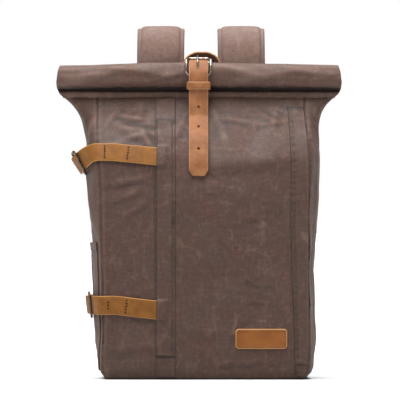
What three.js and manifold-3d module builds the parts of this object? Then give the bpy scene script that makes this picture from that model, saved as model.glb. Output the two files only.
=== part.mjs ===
// Rolltop backpack, standing closed and empty on its base.
// Millimetres. X runs to the right as seen from the front, Y to the back, Z up.
// The origin lies under the middle of the roll, on the floor; the front faces -Y.
import * as THREE from 'three';
import Module from 'manifold-3d';
import { mergeVertices } from 'three/addons/utils/BufferGeometryUtils.js';

const wasm = await Module();
wasm.setup();

// Driving sizes
const BODY_WIDTH = 300;
const BODY_DEPTH = 120;
const NECK_HEIGHT = 389;
const UNDER_ROLL = 13;
const ROLL_BOTTOM = NECK_HEIGHT + UNDER_ROLL;
const ROLL_HEIGHT = 34.5;
const ROLL_TOP = ROLL_BOTTOM + ROLL_HEIGHT;
const ROLL_WIDTH = 396;
const ROLL_DEPTH = 30;
const STRAPS_RISE = 49.5;
const STRAPS_TOP = ROLL_TOP + STRAPS_RISE;
const CANVAS = 2;
const DOUBLE_CANVAS = 4;
const BACK_PADDING = 6;
const BASE_THICKNESS = 3;
const BAND_THICKNESS = 1.6;
const LEATHER = 2.6;
const CLOSURE_WIDTH = 26.5;
const SIDE_STRAP_WIDTH = 26;
const BAR = 3.6;
const PAD_THICKNESS = 12;
const PAD_WIDTH = 64;
const PAD_SPACING = 114;
const WEBBING_WIDTH = 25;
const WEBBING = 1.8;
const HANDLE_WIDTH = 20;
const HANDLE_SPAN = 56;
const HANDLE_RISE = 17.5;
const HANDLE_TOP = ROLL_TOP + HANDLE_RISE;
const LABEL_WIDTH = 71;
const LABEL_HEIGHT = 27.5;
const GAP = 0.3;

// Rows of numbers as rows with named columns.
const namedRows = (names, rows) => rows.map((row) => Object.fromEntries(names.map((name, i) => [name, row[i]])));

// The body from the floor to the neck. height is a share of NECK_HEIGHT; left and right are the outline and
// seamLeft and seamRight the front seams, shares of BODY_WIDTH; front and back are shares of BODY_DEPTH;
// fold says how far the gusset is pressed flat, from 0 (bulging) to 1 (flat, pointing out).
const BODY = namedRows(['height', 'left', 'right', 'seamLeft', 'seamRight', 'front', 'back', 'fold'], [
  [0.009, 0.440, 0.500, 0.430, 0.487, 0.470, 0.478, 0],
  [0.026, 0.457, 0.517, 0.440, 0.496, 0.492, 0.494, 0],
  [0.069, 0.463, 0.522, 0.443, 0.503, 0.505, 0.5, 0],
  [0.154, 0.471, 0.527, 0.442, 0.506, 0.517, 0.5, 0],
  [0.347, 0.485, 0.531, 0.445, 0.506, 0.530, 0.5, 0],
  [0.478, 0.490, 0.535, 0.447, 0.506, 0.530, 0.5, 0],
  [0.530, 0.498, 0.542, 0.447, 0.506, 0.528, 0.5, 0],
  [0.668, 0.512, 0.544, 0.450, 0.507, 0.516, 0.5, 0],
  [0.771, 0.520, 0.547, 0.458, 0.506, 0.468, 0.488, 0.03],
  [0.841, 0.526, 0.549, 0.466, 0.501, 0.362, 0.440, 0.12],
  [0.882, 0.535, 0.552, 0.468, 0.495, 0.278, 0.390, 0.30],
  [0.925, 0.549, 0.563, 0.468, 0.490, 0.176, 0.305, 0.55],
  [0.969, 0.584, 0.588, 0.468, 0.487, 0.058, 0.188, 0.86],
  [1.000, 0.627, 0.628, 0.468, 0.487, -0.025, 0.108, 1],
]);
const POCKET_TOP = 0.484;
const ROWS = [0.009, 0.026, 0.069, 0.154, 0.25, 0.347, 0.42, POCKET_TOP, 0.53, 0.6, 0.668, 0.72, 0.771, 0.806,
  0.841, 0.862, 0.882, 0.904, 0.925, 0.947, 0.969, 0.985, 1];
const FRONT_BULGE = 0.03;

// Half widths of the rolled top as shares of half ROLL_WIDTH, against the height over the neck as a share of the
// height from the neck to the top of the roll.
const ROLL_SIDES = [
  { height: 0, half: 0.950 },
  { height: 0.13, half: 0.975 },
  { height: 0.40, half: 1 },
  { height: 0.75, half: 0.990 },
  { height: 1, half: 0.972 },
];
const ROLL_SAG = 4;
const ROLL_TURNS = 2.25;
const ROLL_PITCH = DOUBLE_CANVAS + 0.5;

// Padded shoulder strap: depth behind the back panel as a share of STRAP_REACH, height as a share of STRAPS_TOP,
// spread as a share of PAD_SPACING / 2, width as a share of PAD_WIDTH, thickness as a share of PAD_THICKNESS.
const STRAP_REACH = 62;
const SHOULDER = [
  { depth: -0.03, height: 0.665, spread: 1.00, width: 1.00, thickness: 0.62 },
  { depth: 0.00, height: 0.740, spread: 1.00, width: 1.00, thickness: 0.9 },
  { depth: 0.03, height: 0.820, spread: 1.00, width: 1.02, thickness: 1 },
  { depth: 0.10, height: 0.900, spread: 0.99, width: 1.03, thickness: 1 },
  { depth: 0.28, height: 0.960, spread: 0.985, width: 1.03, thickness: 1 },
  { depth: 0.52, height: 0.9875, spread: 0.98, width: 1.03, thickness: 1 },
  { depth: 0.76, height: 0.960, spread: 0.99, width: 1.03, thickness: 1 },
  { depth: 0.90, height: 0.890, spread: 1.01, width: 1.02, thickness: 1 },
  { depth: 0.93, height: 0.780, spread: 1.05, width: 1.02, thickness: 1 },
  { depth: 0.84, height: 0.640, spread: 1.12, width: 1.00, thickness: 1 },
  { depth: 0.66, height: 0.500, spread: 1.24, width: 0.96, thickness: 1 },
  { depth: 0.48, height: 0.370, spread: 1.42, width: 0.88, thickness: 0.95 },
  { depth: 0.36, height: 0.260, spread: 1.62, width: 0.74, thickness: 0.8 },
];

// Finishes
const FINISH = {
  canvas: { color: '#66514a', roughness: 0.85, metalness: 0 },
  canvasDark: { color: '#4b3a35', roughness: 0.9, metalness: 0 },
  leather: { color: '#a9713c', roughness: 0.55, metalness: 0 },
  webbing: { color: '#4a3a33', roughness: 0.9, metalness: 0 },
  nickel: { color: '#8f8a80', roughness: 0.3, metalness: 1 },
};

// Smooth value of one column of a table at a share, a cubic through the rows.
function column(table, name, share, key = 'height') {
  const last = table.length - 1;
  let i = 0;
  while (i < last - 1 && share > table[i + 1][key]) i += 1;
  const slope = (k) => {
    const a = table[Math.max(k - 1, 0)];
    const b = table[Math.min(k + 1, last)];
    return (b[name] - a[name]) / (b[key] - a[key]);
  };
  const span = table[i + 1][key] - table[i][key];
  const t = Math.min(Math.max((share - table[i][key]) / span, 0), 1);
  const u = 1 - t;
  const ends = table[i][name] * (1 + 2 * t) * u * u + table[i + 1][name] * (1 + 2 * u) * t * t;
  return ends + span * (slope(i) * t * u * u - slope(i + 1) * u * t * t);
}

const vec = (x, y, z) => new THREE.Vector3(x, y, z);
const mix = (a, b, t) => a + (b - a) * t;
const steps = (count, from = 0, to = 1) => Array.from({ length: count + 1 }, (_, i) => mix(from, to, i / count));

// Body surfaces
const frontSeam = (side, h) => side * BODY_WIDTH * column(BODY, side < 0 ? 'seamLeft' : 'seamRight', h);
const outline = (side, h) => side * BODY_WIDTH * column(BODY, side < 0 ? 'left' : 'right', h);
const seamFront = (h) => -BODY_DEPTH * column(BODY, 'front', h);
const backPlane = (h) => BODY_DEPTH * column(BODY, 'back', h);
const foldAt = (h) => column(BODY, 'fold', h);

// Outer front face: the seam line pushed forward by a bulge that is greatest in the middle.
function frontFace(x, z) {
  const h = z / NECK_HEIGHT;
  const left = frontSeam(-1, h);
  const right = frontSeam(1, h);
  const across = (2 * x - left - right) / (right - left);
  const bulge = FRONT_BULGE * BODY_DEPTH * (1 - foldAt(h)) * Math.max(1 - across * across, 0);
  return seamFront(h) - bulge;
}

// Outer gusset face at w, from 0 at the front seam to 1 at the back seam: a bulge that turns into a flat fold.
function gussetFace(side, w, h) {
  const seam = frontSeam(side, h);
  const out = outline(side, h) - seam;
  const toMiddle = 1 - Math.abs(2 * w - 1);
  const round = Math.sqrt(1 - Math.pow(1 - Math.min(toMiddle, 1), 2));
  const bulging = Math.pow(Math.sin(Math.PI * w), 0.75);
  const fold = foldAt(h);
  const depthBulging = w;
  const depthFolded = 0.5 + Math.sign(w - 0.5) * 0.5 * Math.min(Math.pow((1 - toMiddle) / 0.28, 0.6), 1);
  const reach = mix(bulging, toMiddle, fold);
  const depth = mix(depthBulging, depthFolded, fold * fold);
  const swell = mix(0, round * 0.02 * out, fold);
  return vec(seam + out * reach + swell, mix(seamFront(h), backPlane(h), depth), h * NECK_HEIGHT);
}

// Outward normal of the gusset in its level plane.
function gussetNormal(side, w, h) {
  const a = gussetFace(side, Math.max(w - 0.01, 0), h);
  const b = gussetFace(side, Math.min(w + 0.01, 1), h);
  const d = b.sub(a).normalize();
  return vec(side * d.y, -side * d.x, 0).normalize();
}

// Faces, outside forward, made into a geometry; the triangles are turned when the volume comes out negative.
function closedGeometry(points, faces) {
  let volume = 0;
  const cross = vec(0, 0, 0);
  for (const [a, b, c] of faces) volume += points[a].dot(cross.crossVectors(points[b], points[c]));
  const index = faces.flatMap(([a, b, c]) => (volume < 0 ? [a, c, b] : [a, b, c]));
  const geometry = new THREE.BufferGeometry();
  geometry.setAttribute('position', new THREE.Float32BufferAttribute(points.flatMap((p) => [p.x, p.y, p.z]), 3));
  geometry.setIndex(index);
  geometry.computeVertexNormals();
  return geometry;
}

// A sheet with thickness: two grids of the same size, one for each face, joined round the border.
function sheetSolid(columns, rows, outerFace, innerFace) {
  const points = [];
  for (const face of [outerFace, innerFace]) {
    for (const v of rows) {
      for (const u of columns) points.push(face(u, v));
    }
  }
  const nu = columns.length;
  const nv = rows.length;
  const back = nu * nv;
  const faces = [];
  const quad = (a, b, c, d) => faces.push([a, b, c], [a, c, d]);
  for (let j = 0; j + 1 < nv; j += 1) {
    for (let i = 0; i + 1 < nu; i += 1) {
      const a = j * nu + i;
      quad(a, a + 1, a + nu + 1, a + nu);
      quad(back + a, back + a + nu, back + a + nu + 1, back + a + 1);
    }
  }
  for (let i = 0; i + 1 < nu; i += 1) {
    const top = (nv - 1) * nu + i;
    quad(i + 1, i, back + i, back + i + 1);
    quad(top, top + 1, back + top + 1, back + top);
  }
  for (let j = 0; j + 1 < nv; j += 1) {
    const left = j * nu;
    const right = left + nu - 1;
    quad(left, left + nu, back + left + nu, back + left);
    quad(right + nu, right, back + right, back + right + nu);
  }
  return closedGeometry(points, faces);
}

// A section carried along stations; each station gives the place, the width axis and the thickness axis.
function sweep(stations, sectionAt, ring = false) {
  const points = [];
  const faces = [];
  const count = sectionAt(0).length;
  stations.forEach((station, k) => {
    for (const [a, b] of sectionAt(k)) {
      points.push(station.place.clone().addScaledVector(station.width, a).addScaledVector(station.normal, b));
    }
  });
  const spans = ring ? stations.length : stations.length - 1;
  for (let k = 0; k < spans; k += 1) {
    const here = k * count;
    const next = ((k + 1) % stations.length) * count;
    for (let i = 0; i < count; i += 1) {
      const j = (i + 1) % count;
      faces.push([here + i, here + j, next + j], [here + i, next + j, next + i]);
    }
  }
  if (!ring) {
    const end = (stations.length - 1) * count;
    const flat = (k) => sectionAt(k).map(([a, b]) => new THREE.Vector2(a, b));
    for (const [a, b, c] of THREE.ShapeUtils.triangulateShape(flat(0), [])) faces.push([a, c, b]);
    for (const [a, b, c] of THREE.ShapeUtils.triangulateShape(flat(stations.length - 1), [])) {
      faces.push([end + a, end + b, end + c]);
    }
  }
  return closedGeometry(points, faces);
}

// Sections: width and thickness measured from the middle of the width and the underside.
const flatSection = (width, thickness) => [
  [-width / 2, 0], [width / 2, 0], [width / 2, thickness], [-width / 2, thickness],
];
const paddedSection = (width, thickness) => [
  [-0.5, -0.12], [-0.36, -0.4], [-0.18, -0.5], [0.18, -0.5], [0.36, -0.4], [0.5, -0.12],
  [0.5, 0.12], [0.36, 0.4], [0.18, 0.5], [-0.18, 0.5], [-0.36, 0.4], [-0.5, 0.12],
].map(([a, b]) => [a * width, b * thickness]);
const roundSection = (diameter, sides = 8) => Array.from({ length: sides }, (_, i) => {
  const turn = (2 * Math.PI * (i + 0.5)) / sides;
  return [(diameter / 2) * Math.cos(turn), (diameter / 2) * Math.sin(turn)];
});

// A line drawn on the bag that straps and buckles follow: along it in mm, across it, and off the surface.
// sense is 1 where the outside lies to the tangent x width side of the line, or -1.
class Ground {
  constructor(points, sense, widthAt) {
    this.curve = new THREE.CatmullRomCurve3(points, false, 'centripetal');
    this.curve.arcLengthDivisions = 400;
    this.length = this.curve.getLength();
    this.sense = sense;
    this.widthAt = widthAt;
  }

  // Distance along the line at which it passes nearest to a point.
  nearest(point) {
    const shares = steps(600);
    const far = shares.map((u) => this.curve.getPointAt(u).distanceTo(point));
    return shares[far.indexOf(Math.min(...far))] * this.length;
  }

  // Station at a distance along the line, moved across and lifted off the surface.
  station(along, across = 0, lift = 0) {
    const u = Math.min(Math.max(along / this.length, 0), 1);
    const tangent = this.curve.getTangentAt(u);
    const width = this.widthAt(along);
    width.addScaledVector(tangent, -width.dot(tangent)).normalize();
    const normal = tangent.clone().cross(width).multiplyScalar(this.sense);
    const place = this.curve.getPointAt(u).addScaledVector(width, across).addScaledVector(normal, lift);
    return { place, width, normal, tangent };
  }

  // Flat strap between two distances, lifted off the surface by the lift column.
  strap(from, to, width, thickness, lifts, count) {
    const stations = steps(count, from, to).map((along) => (
      this.station(along, 0, column(lifts, 'lift', along, 'along'))));
    return sweep(stations, () => flatSection(width, thickness));
  }

  // Buckle frame: a closed bar round clipped corners, from the hinge side to the far side.
  frame(hinge, far, width, clip, bar, hingeLift, farLift) {
    const half = width / 2;
    const side = [[0, half - clip], [0.15, half], [0.4, half], [0.65, half], [0.88, half], [1, half - clip]];
    const loop = [...side, ...side.map(([share, across]) => [share, -across]).reverse()];
    const places = loop.map(([share, across]) => (
      this.station(mix(hinge, far, share), across, mix(hingeLift, farLift, share)).place));
    return ringBar(places, bar);
  }

  // Flat band closed round a strap: across and off the surface it leaves the given hole.
  keeper(along, length, hole, wall) {
    const { place, width, normal, tangent } = this.station(along);
    const box = (w, low, high) => [[-w / 2, low], [w / 2, low], [w / 2, high], [-w / 2, high]]
      .map(([x, y]) => new THREE.Vector2(x, y));
    const shape = new THREE.Shape(box(hole.width + 2 * wall, hole.low - wall, hole.high + wall));
    shape.holes.push(new THREE.Path(box(hole.width, hole.low, hole.high)));
    const geometry = new THREE.ExtrudeGeometry(shape, { depth: length, bevelEnabled: false });
    geometry.translate(0, 0, -length / 2);
    const third = width.clone().cross(normal);
    geometry.applyMatrix4(new THREE.Matrix4().makeBasis(width, normal, third).setPosition(place));
    return tangent && geometry;
  }
}

// A round bar bent through a closed loop of places.
function ringBar(places, diameter) {
  const middle = places.reduce((sum, p) => sum.add(p), vec(0, 0, 0)).divideScalar(places.length);
  const stations = places.map((place, k) => {
    const before = places[(k + places.length - 1) % places.length];
    const after = places[(k + 1) % places.length];
    const tangent = after.clone().sub(before).normalize();
    const away = place.clone().sub(middle);
    const width = away.addScaledVector(tangent, -away.dot(tangent)).normalize();
    return { place, width, normal: tangent.clone().cross(width).normalize() };
  });
  return sweep(stations, () => roundSection(diameter), true);
}

// One geometry as a solid for boolean work, and back.
function toSolid(geometry) {
  const plain = geometry.clone();
  plain.deleteAttribute('normal');
  plain.deleteAttribute('uv');
  const merged = mergeVertices(plain, 1e-4);
  return new wasm.Manifold(new wasm.Mesh({
    numProp: 3,
    vertProperties: new Float32Array(merged.attributes.position.array),
    triVerts: new Uint32Array(merged.index.array),
  }));
}

function fromSolid(solid) {
  const mesh = solid.getMesh();
  const geometry = new THREE.BufferGeometry();
  geometry.setAttribute('position', new THREE.Float32BufferAttribute(mesh.vertProperties, 3));
  geometry.setIndex(Array.from(mesh.triVerts));
  geometry.computeVertexNormals();
  return geometry;
}

const cut = (body, ...tools) => fromSolid(tools.reduce((rest, tool) => rest.subtract(toSolid(tool)), toSolid(body)));

const group = new THREE.Group();
group.name = 'rolltop_backpack';

function add(name, geometry, finish) {
  const mesh = new THREE.Mesh(geometry, new THREE.MeshStandardMaterial(finish));
  mesh.name = name;
  mesh.material.name = name;
  group.add(mesh);
  return mesh;
}

// Body panels. Walls meet in a mitre at the seams, with the small gap between them.
const SEAM = GAP * 0.75;
const mitre = (h) => CANVAS * (1 - foldAt(h));

add('front_panel', sheetSolid(
  steps(12),
  ROWS,
  (u, h) => {
    const x = mix(frontSeam(-1, h) + SEAM, frontSeam(1, h) - SEAM, u);
    return vec(x, frontFace(x, h * NECK_HEIGHT), h * NECK_HEIGHT);
  },
  (u, h) => {
    const x = mix(frontSeam(-1, h) + SEAM + mitre(h), frontSeam(1, h) - SEAM - mitre(h), u);
    return vec(x, frontFace(x, h * NECK_HEIGHT) + CANVAS, h * NECK_HEIGHT);
  },
), FINISH.canvas);

add('back_panel', sheetSolid(
  steps(8),
  ROWS,
  (u, h) => vec(mix(frontSeam(-1, h) + SEAM, frontSeam(1, h) - SEAM, u), backPlane(h), h * NECK_HEIGHT),
  (u, h) => {
    const thickness = mix(BACK_PADDING, CANVAS, foldAt(h));
    const inset = SEAM + BACK_PADDING * (1 - foldAt(h));
    return vec(mix(frontSeam(-1, h) + inset, frontSeam(1, h) - inset, u), backPlane(h) - thickness, h * NECK_HEIGHT);
  },
), FINISH.canvas);

const GUSSET_COLUMNS = [0, 0.03, 0.08, 0.15, 0.24, 0.34, 0.42, 0.5, 0.58, 0.66, 0.76, 0.85, 0.92, 0.97, 1];

// Outer and inner face of a gusset; the ends lean over in the mitre of the seams.
function gussetPoint(side, w, h, lift) {
  const p = gussetFace(side, w, h);
  const n = gussetNormal(side, w, h);
  const nearEnd = Math.max(1 - Math.min(w, 1 - w) / 0.1, 0);
  const mitred = vec(side * (1 - foldAt(h)), w < 0.5 ? -1 : 1, 0);
  p.x += side * SEAM * nearEnd;
  return p.addScaledVector(n.multiplyScalar(1 - nearEnd).addScaledVector(mitred, nearEnd), lift);
}

for (const [name, side] of [['left_gusset', -1], ['right_gusset', 1]]) {
  add(name, sheetSolid(
    GUSSET_COLUMNS,
    ROWS,
    (w, h) => gussetPoint(side, w, h, 0),
    (w, h) => gussetPoint(side, w, h, -CANVAS),
  ), FINISH.canvas);
}

// Base: a plate under the walls, its lower edge drawn in.
const FLOOR_ROW = ROWS[0];
const baseTop = FLOOR_ROW * NECK_HEIGHT - GAP;

function baseLoop(share, z) {
  const right = GUSSET_COLUMNS.map((w) => gussetFace(1, w, FLOOR_ROW));
  const left = GUSSET_COLUMNS.map((w) => gussetFace(-1, 1 - w, FLOOR_ROW));
  const middle = vec((outline(1, FLOOR_ROW) + outline(-1, FLOOR_ROW)) / 2, 0, 0);
  return [...right, ...left].map((p) => vec(mix(middle.x, p.x, share), p.y * share, z));
}

function loft(loops) {
  const count = loops[0].length;
  const points = loops.flat();
  const faces = [];
  for (let k = 0; k + 1 < loops.length; k += 1) {
    for (let i = 0; i < count; i += 1) {
      const j = (i + 1) % count;
      const here = k * count;
      faces.push([here + i, here + j, here + count + j], [here + i, here + count + j, here + count + i]);
    }
  }
  const cap = THREE.ShapeUtils.triangulateShape(loops[0].map((p) => new THREE.Vector2(p.x, p.y)), []);
  const top = (loops.length - 1) * count;
  for (const [a, b, c] of cap) faces.push([a, c, b], [top + a, top + b, top + c]);
  return closedGeometry(points, faces);
}

add('base_panel', loft([baseLoop(0.975, 0), baseLoop(0.99, baseTop / 2), baseLoop(0.995, baseTop)]),
  FINISH.canvasDark);

// Rolled top: the doubled neck goes up behind the roll and winds forward and down round its middle.
const neckY = (seamFront(1) + backPlane(1)) / 2;
const neckThickness = backPlane(1) - seamFront(1);
const rollSemiDepth = ROLL_DEPTH / 2 - DOUBLE_CANVAS / 2;
const rollY = neckY + 3 - rollSemiDepth;
const rollZ = (ROLL_TOP + ROLL_BOTTOM - ROLL_PITCH / 2) / 2;
const rollSemiHeight = ROLL_TOP - DOUBLE_CANVAS / 2 + ROLL_PITCH / 4 - rollZ;

// Point of the winding at a turn angle, from the back over the top; off moves it outward from the middle line.
function winding(degrees, off = 0) {
  const angle = THREE.MathUtils.degToRad(degrees);
  const shrink = (ROLL_PITCH * degrees) / 360;
  return new THREE.Vector2(
    rollY + (rollSemiDepth - shrink + off) * Math.cos(angle),
    rollZ + (rollSemiHeight - shrink + off) * Math.sin(angle),
  );
}

function rollSection() {
  const rise = rollZ - NECK_HEIGHT - GAP;
  const neck = [
    { up: 0, shift: 0, thickness: neckThickness },
    { up: 0.14, shift: -0.25, thickness: neckThickness + 1.5 },
    { up: 0.27, shift: 0.05, thickness: neckThickness * 0.62 },
    { up: 0.45, shift: 0.35, thickness: DOUBLE_CANVAS + 0.6 },
    { up: 0.7, shift: 0.8, thickness: DOUBLE_CANVAS },
  ].map((row) => ({
    place: new THREE.Vector2(neckY + 3 * row.shift, NECK_HEIGHT + GAP + rise * row.up),
    thickness: row.thickness,
  }));
  const turns = steps(Math.round(ROLL_TURNS * 18), 0, ROLL_TURNS * 360)
    .map((degrees) => ({ place: winding(degrees), thickness: DOUBLE_CANVAS }));
  const path = [...neck, ...turns];
  const sides = path.map(({ place, thickness }, k) => {
    const before = path[Math.max(k - 1, 0)].place;
    const after = path[Math.min(k + 1, path.length - 1)].place;
    const along = k === 0 ? new THREE.Vector2(0, 1) : after.clone().sub(before).normalize();
    const off = new THREE.Vector2(along.y, -along.x).multiplyScalar(thickness / 2);
    return [place.clone().add(off), place.clone().sub(off)];
  });
  return [...sides.map(([outer]) => outer), ...sides.map(([, inner]) => inner).reverse()];
}

const rollOutline = rollSection();
const rollRise = (z) => (z - NECK_HEIGHT) / (ROLL_TOP - NECK_HEIGHT);

add('rolled_top', sweep(
  steps(8, -1, 1).map((u) => ({ place: vec(0, 0, 0), width: vec(0, 1, 0), normal: vec(0, 0, 1), u })),
  () => rollOutline.map((p) => [p.x, p.y]),
), FINISH.canvas);
const rolledTop = group.getObjectByName('rolled_top').geometry;
{
  const place = rolledTop.attributes.position;
  const shares = steps(8, -1, 1);
  for (let i = 0; i < place.count; i += 1) {
    const u = shares[Math.floor(i / rollOutline.length)];
    const z = place.getZ(i);
    const half = (ROLL_WIDTH / 2) * column(ROLL_SIDES, 'half', rollRise(z));
    place.setXYZ(i, u * half, place.getY(i), z - ROLL_SAG * u * u * Math.max(rollRise(z), 0));
  }
  rolledTop.computeVertexNormals();
}

// Strips sewn up the front: left and right edges as shares of BODY_WIDTH against the share of NECK_HEIGHT.
const LEFT_STRIP = [{ height: 0.012, left: -0.203, right: -0.107 }, { height: 0.995, left: -0.203, right: -0.107 }];
const LEFT_BAND = [{ height: 0.085, left: -0.193, right: -0.120 }, { height: 0.915, left: -0.193, right: -0.120 }];
const RIGHT_BAND = [
  { height: 0.035, left: 0.437, right: 0.493 },
  { height: 0.13, left: 0.4355, right: 0.501 },
  { height: 0.56, left: 0.418, right: 0.5015 },
  { height: 0.76, left: 0.420, right: 0.5015 },
  { height: 0.965, left: 0.407, right: 0.482 },
];
const rowsBetween = (low, high) => [low, ...ROWS.filter((h) => h > low + 0.008 && h < high - 0.008), high];

// Point off the front face, along its outward normal.
function offFront(x, z, lift) {
  const step = 1;
  const slopeX = (frontFace(x + step, z) - frontFace(x - step, z)) / (2 * step);
  const low = Math.max(z - step, FLOOR_ROW * NECK_HEIGHT);
  const high = Math.min(z + step, NECK_HEIGHT);
  const slopeZ = (frontFace(x, high) - frontFace(x, low)) / (high - low);
  return vec(x, frontFace(x, z), z).addScaledVector(vec(slopeX, -1, slopeZ).normalize(), lift);
}

function frontStrip(name, table, lift, thickness, finish) {
  const across = (u, h) => BODY_WIDTH * mix(column(table, 'left', h), column(table, 'right', h), u);
  const rows = rowsBetween(table[0].height, table[table.length - 1].height);
  add(name, sheetSolid(
    steps(2),
    rows,
    (u, h) => offFront(across(u, h), h * NECK_HEIGHT, lift + thickness),
    (u, h) => offFront(across(u, h), h * NECK_HEIGHT, lift),
  ), finish);
}

frontStrip('left_strip', LEFT_STRIP, GAP, BAND_THICKNESS, FINISH.canvas);
frontStrip('left_band', LEFT_BAND, BAND_THICKNESS + 2 * GAP, BAND_THICKNESS, FINISH.canvas);
frontStrip('right_band', RIGHT_BAND, GAP, BAND_THICKNESS, FINISH.canvas);

// Flat pocket on the left gusset.
add('left_pocket', sheetSolid(
  [0.1, 0.15, 0.24, 0.34, 0.42, 0.5, 0.58, 0.66, 0.76, 0.85, 0.9],
  rowsBetween(0.03, POCKET_TOP),
  (w, h) => gussetPoint(-1, w, h, GAP + BAND_THICKNESS),
  (w, h) => gussetPoint(-1, w, h, GAP),
), FINISH.canvas);

// Label: leather patch low on the right of the front, its corners clipped.
const LABEL_X = BODY_WIDTH * 0.285;
const LABEL_Z = NECK_HEIGHT * 0.144;
function labelPoint(u, v, lift) {
  const clip = u === 0 || u === 1 ? 0.78 : 1;
  return offFront(LABEL_X + LABEL_WIDTH * (u - 0.5), LABEL_Z + LABEL_HEIGHT * (v - 0.5) * clip, lift);
}
add('label_patch', sheetSolid(
  [0, 0.05, 0.35, 0.65, 0.95, 1],
  steps(2),
  (u, v) => labelPoint(u, v, GAP + BAND_THICKNESS),
  (u, v) => labelPoint(u, v, GAP),
), FINISH.leather);

// Closure strap over the roll, its buckle on the front shoulder of the roll and the short strap that holds it.
const across = () => vec(1, 0, 0);
const backLine = ROWS.filter((h) => h > 0.83).map((h) => vec(0, backPlane(h), h * NECK_HEIGHT));
const rollLine = [0, 30, 60, 90, 120, 150, 180].map((degrees) => {
  const p = winding(degrees, DOUBLE_CANVAS / 2);
  return vec(0, p.x, p.y);
});
const frontLine = ROWS.filter((h) => h > 0.66 && h < 0.93).reverse()
  .map((h) => vec(0, frontFace(0, h * NECK_HEIGHT), h * NECK_HEIGHT));
const rollFront = rollLine[rollLine.length - 1];
const hangLine = [0.25, 0.5, 0.75].map((t) => (
  vec(0, mix(rollFront.y, frontLine[0].y, t * t), mix(rollFront.z, frontLine[0].z, t))));
const middle = new Ground([...backLine, ...rollLine, ...hangLine, ...frontLine], 1, across);
const onFront = (h) => middle.nearest(vec(0, frontFace(0, h * NECK_HEIGHT), h * NECK_HEIGHT));
const onRoll = (degrees) => {
  const p = winding(degrees, DOUBLE_CANVAS / 2);
  return middle.nearest(vec(0, p.x, p.y));
};
const FAR = onRoll(86);
const HINGE = onRoll(176);
const KEEPER = middle.nearest(hangLine[0]);
const CHAPE_END = onFront(0.823);
const TIP = onFront(0.717);
const KEEPER_WALL = 1.8;
const KEEPER_SLACK = 2 * GAP;
const chapeAtKeeper = KEEPER_WALL + KEEPER_SLACK + GAP;
const chapeLifts = [
  { along: HINGE, lift: 2.6 },
  { along: KEEPER, lift: chapeAtKeeper },
  { along: middle.nearest(hangLine[2]), lift: 1.6 },
  { along: onFront(0.887), lift: 2 * GAP },
  { along: CHAPE_END, lift: 2 * GAP },
];
const over = LEATHER + 3 * GAP;
const closureLifts = [
  { along: 0, lift: 2 * GAP },
  { along: onRoll(0) - 30, lift: 4 * GAP },
  { along: onRoll(0), lift: 3 * GAP },
  { along: FAR, lift: 2 * GAP },
  { along: mix(FAR, HINGE, 0.6), lift: 2.6 },
  ...chapeLifts.map(({ along, lift }) => ({ along, lift: lift + over })),
  { along: TIP, lift: 2 * GAP + 1 },
];
const tongueRows = [
  { back: 2.6, lift: BAR / 2 + 2 * GAP },
  { back: 5.5, lift: 3.8 },
  { back: 9, lift: 6.6 },
  { back: 15, lift: 8.4 },
  { back: HINGE - FAR - 2, lift: 9 },
  { back: HINGE - FAR + 2.5, lift: 9.1 },
];
const tongueLine = tongueRows.map(({ back, lift }) => middle.station(HINGE - back, -1.4, lift));
const tongue = (diameter) => sweep(tongueLine, () => roundSection(diameter, 6));
const holeAt = (h) => {
  const along = onFront(h);
  const stations = [-2, 14].map((lift) => middle.station(along, 0, lift));
  return sweep(
    stations.map(({ place, width, tangent }) => ({ place, width, normal: tangent })),
    () => roundSection(3.4, 6),
  );
};
add('closure_strap', cut(
  middle.strap(1, TIP, CLOSURE_WIDTH, LEATHER, closureLifts, 44),
  tongue(4),
  holeAt(0.956),
  holeAt(0.883),
  holeAt(0.807),
), FINISH.leather);
add('buckle_chape', middle.strap(HINGE + BAR / 2 + GAP, CHAPE_END, CLOSURE_WIDTH, LEATHER, chapeLifts, 24),
  FINISH.leather);
add('strap_keeper', middle.keeper(KEEPER, 10.5, {
  width: CLOSURE_WIDTH + 2 * GAP + 2,
  low: chapeAtKeeper - KEEPER_SLACK,
  high: chapeAtKeeper + over + LEATHER + 4 * GAP,
}, KEEPER_WALL), FINISH.leather);
add('buckle_frame', middle.frame(HINGE, FAR, CLOSURE_WIDTH + 2 * BAR, 4, BAR, BAR / 2 + 2 * GAP,
  LEATHER + BAR / 2 + 4 * GAP), FINISH.nickel);
add('buckle_tongue', tongue(2.4), FINISH.nickel);

const POCKET_FACE = BAND_THICKNESS + GAP;

// Side straps round the left front corner, each with its buckle and rear strap on the gusset.
// front, corner, side and back are the heights of the strap's middle as shares of NECK_HEIGHT; tilt leans its
// upper edge out; stand is the clearance off the wall at the buckle and under what the strap lies on there.
const SIDE_STRAPS = {
  upper: { front: 0.781, corner: 0.797, side: 0.776, back: 0.771, tilt: 0.5, stand: 10, under: 0 },
  lower: { front: 0.243, corner: 0.262, side: 0.265, back: 0.265, tilt: 0.06, stand: 2.6, under: POCKET_FACE },
};

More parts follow.
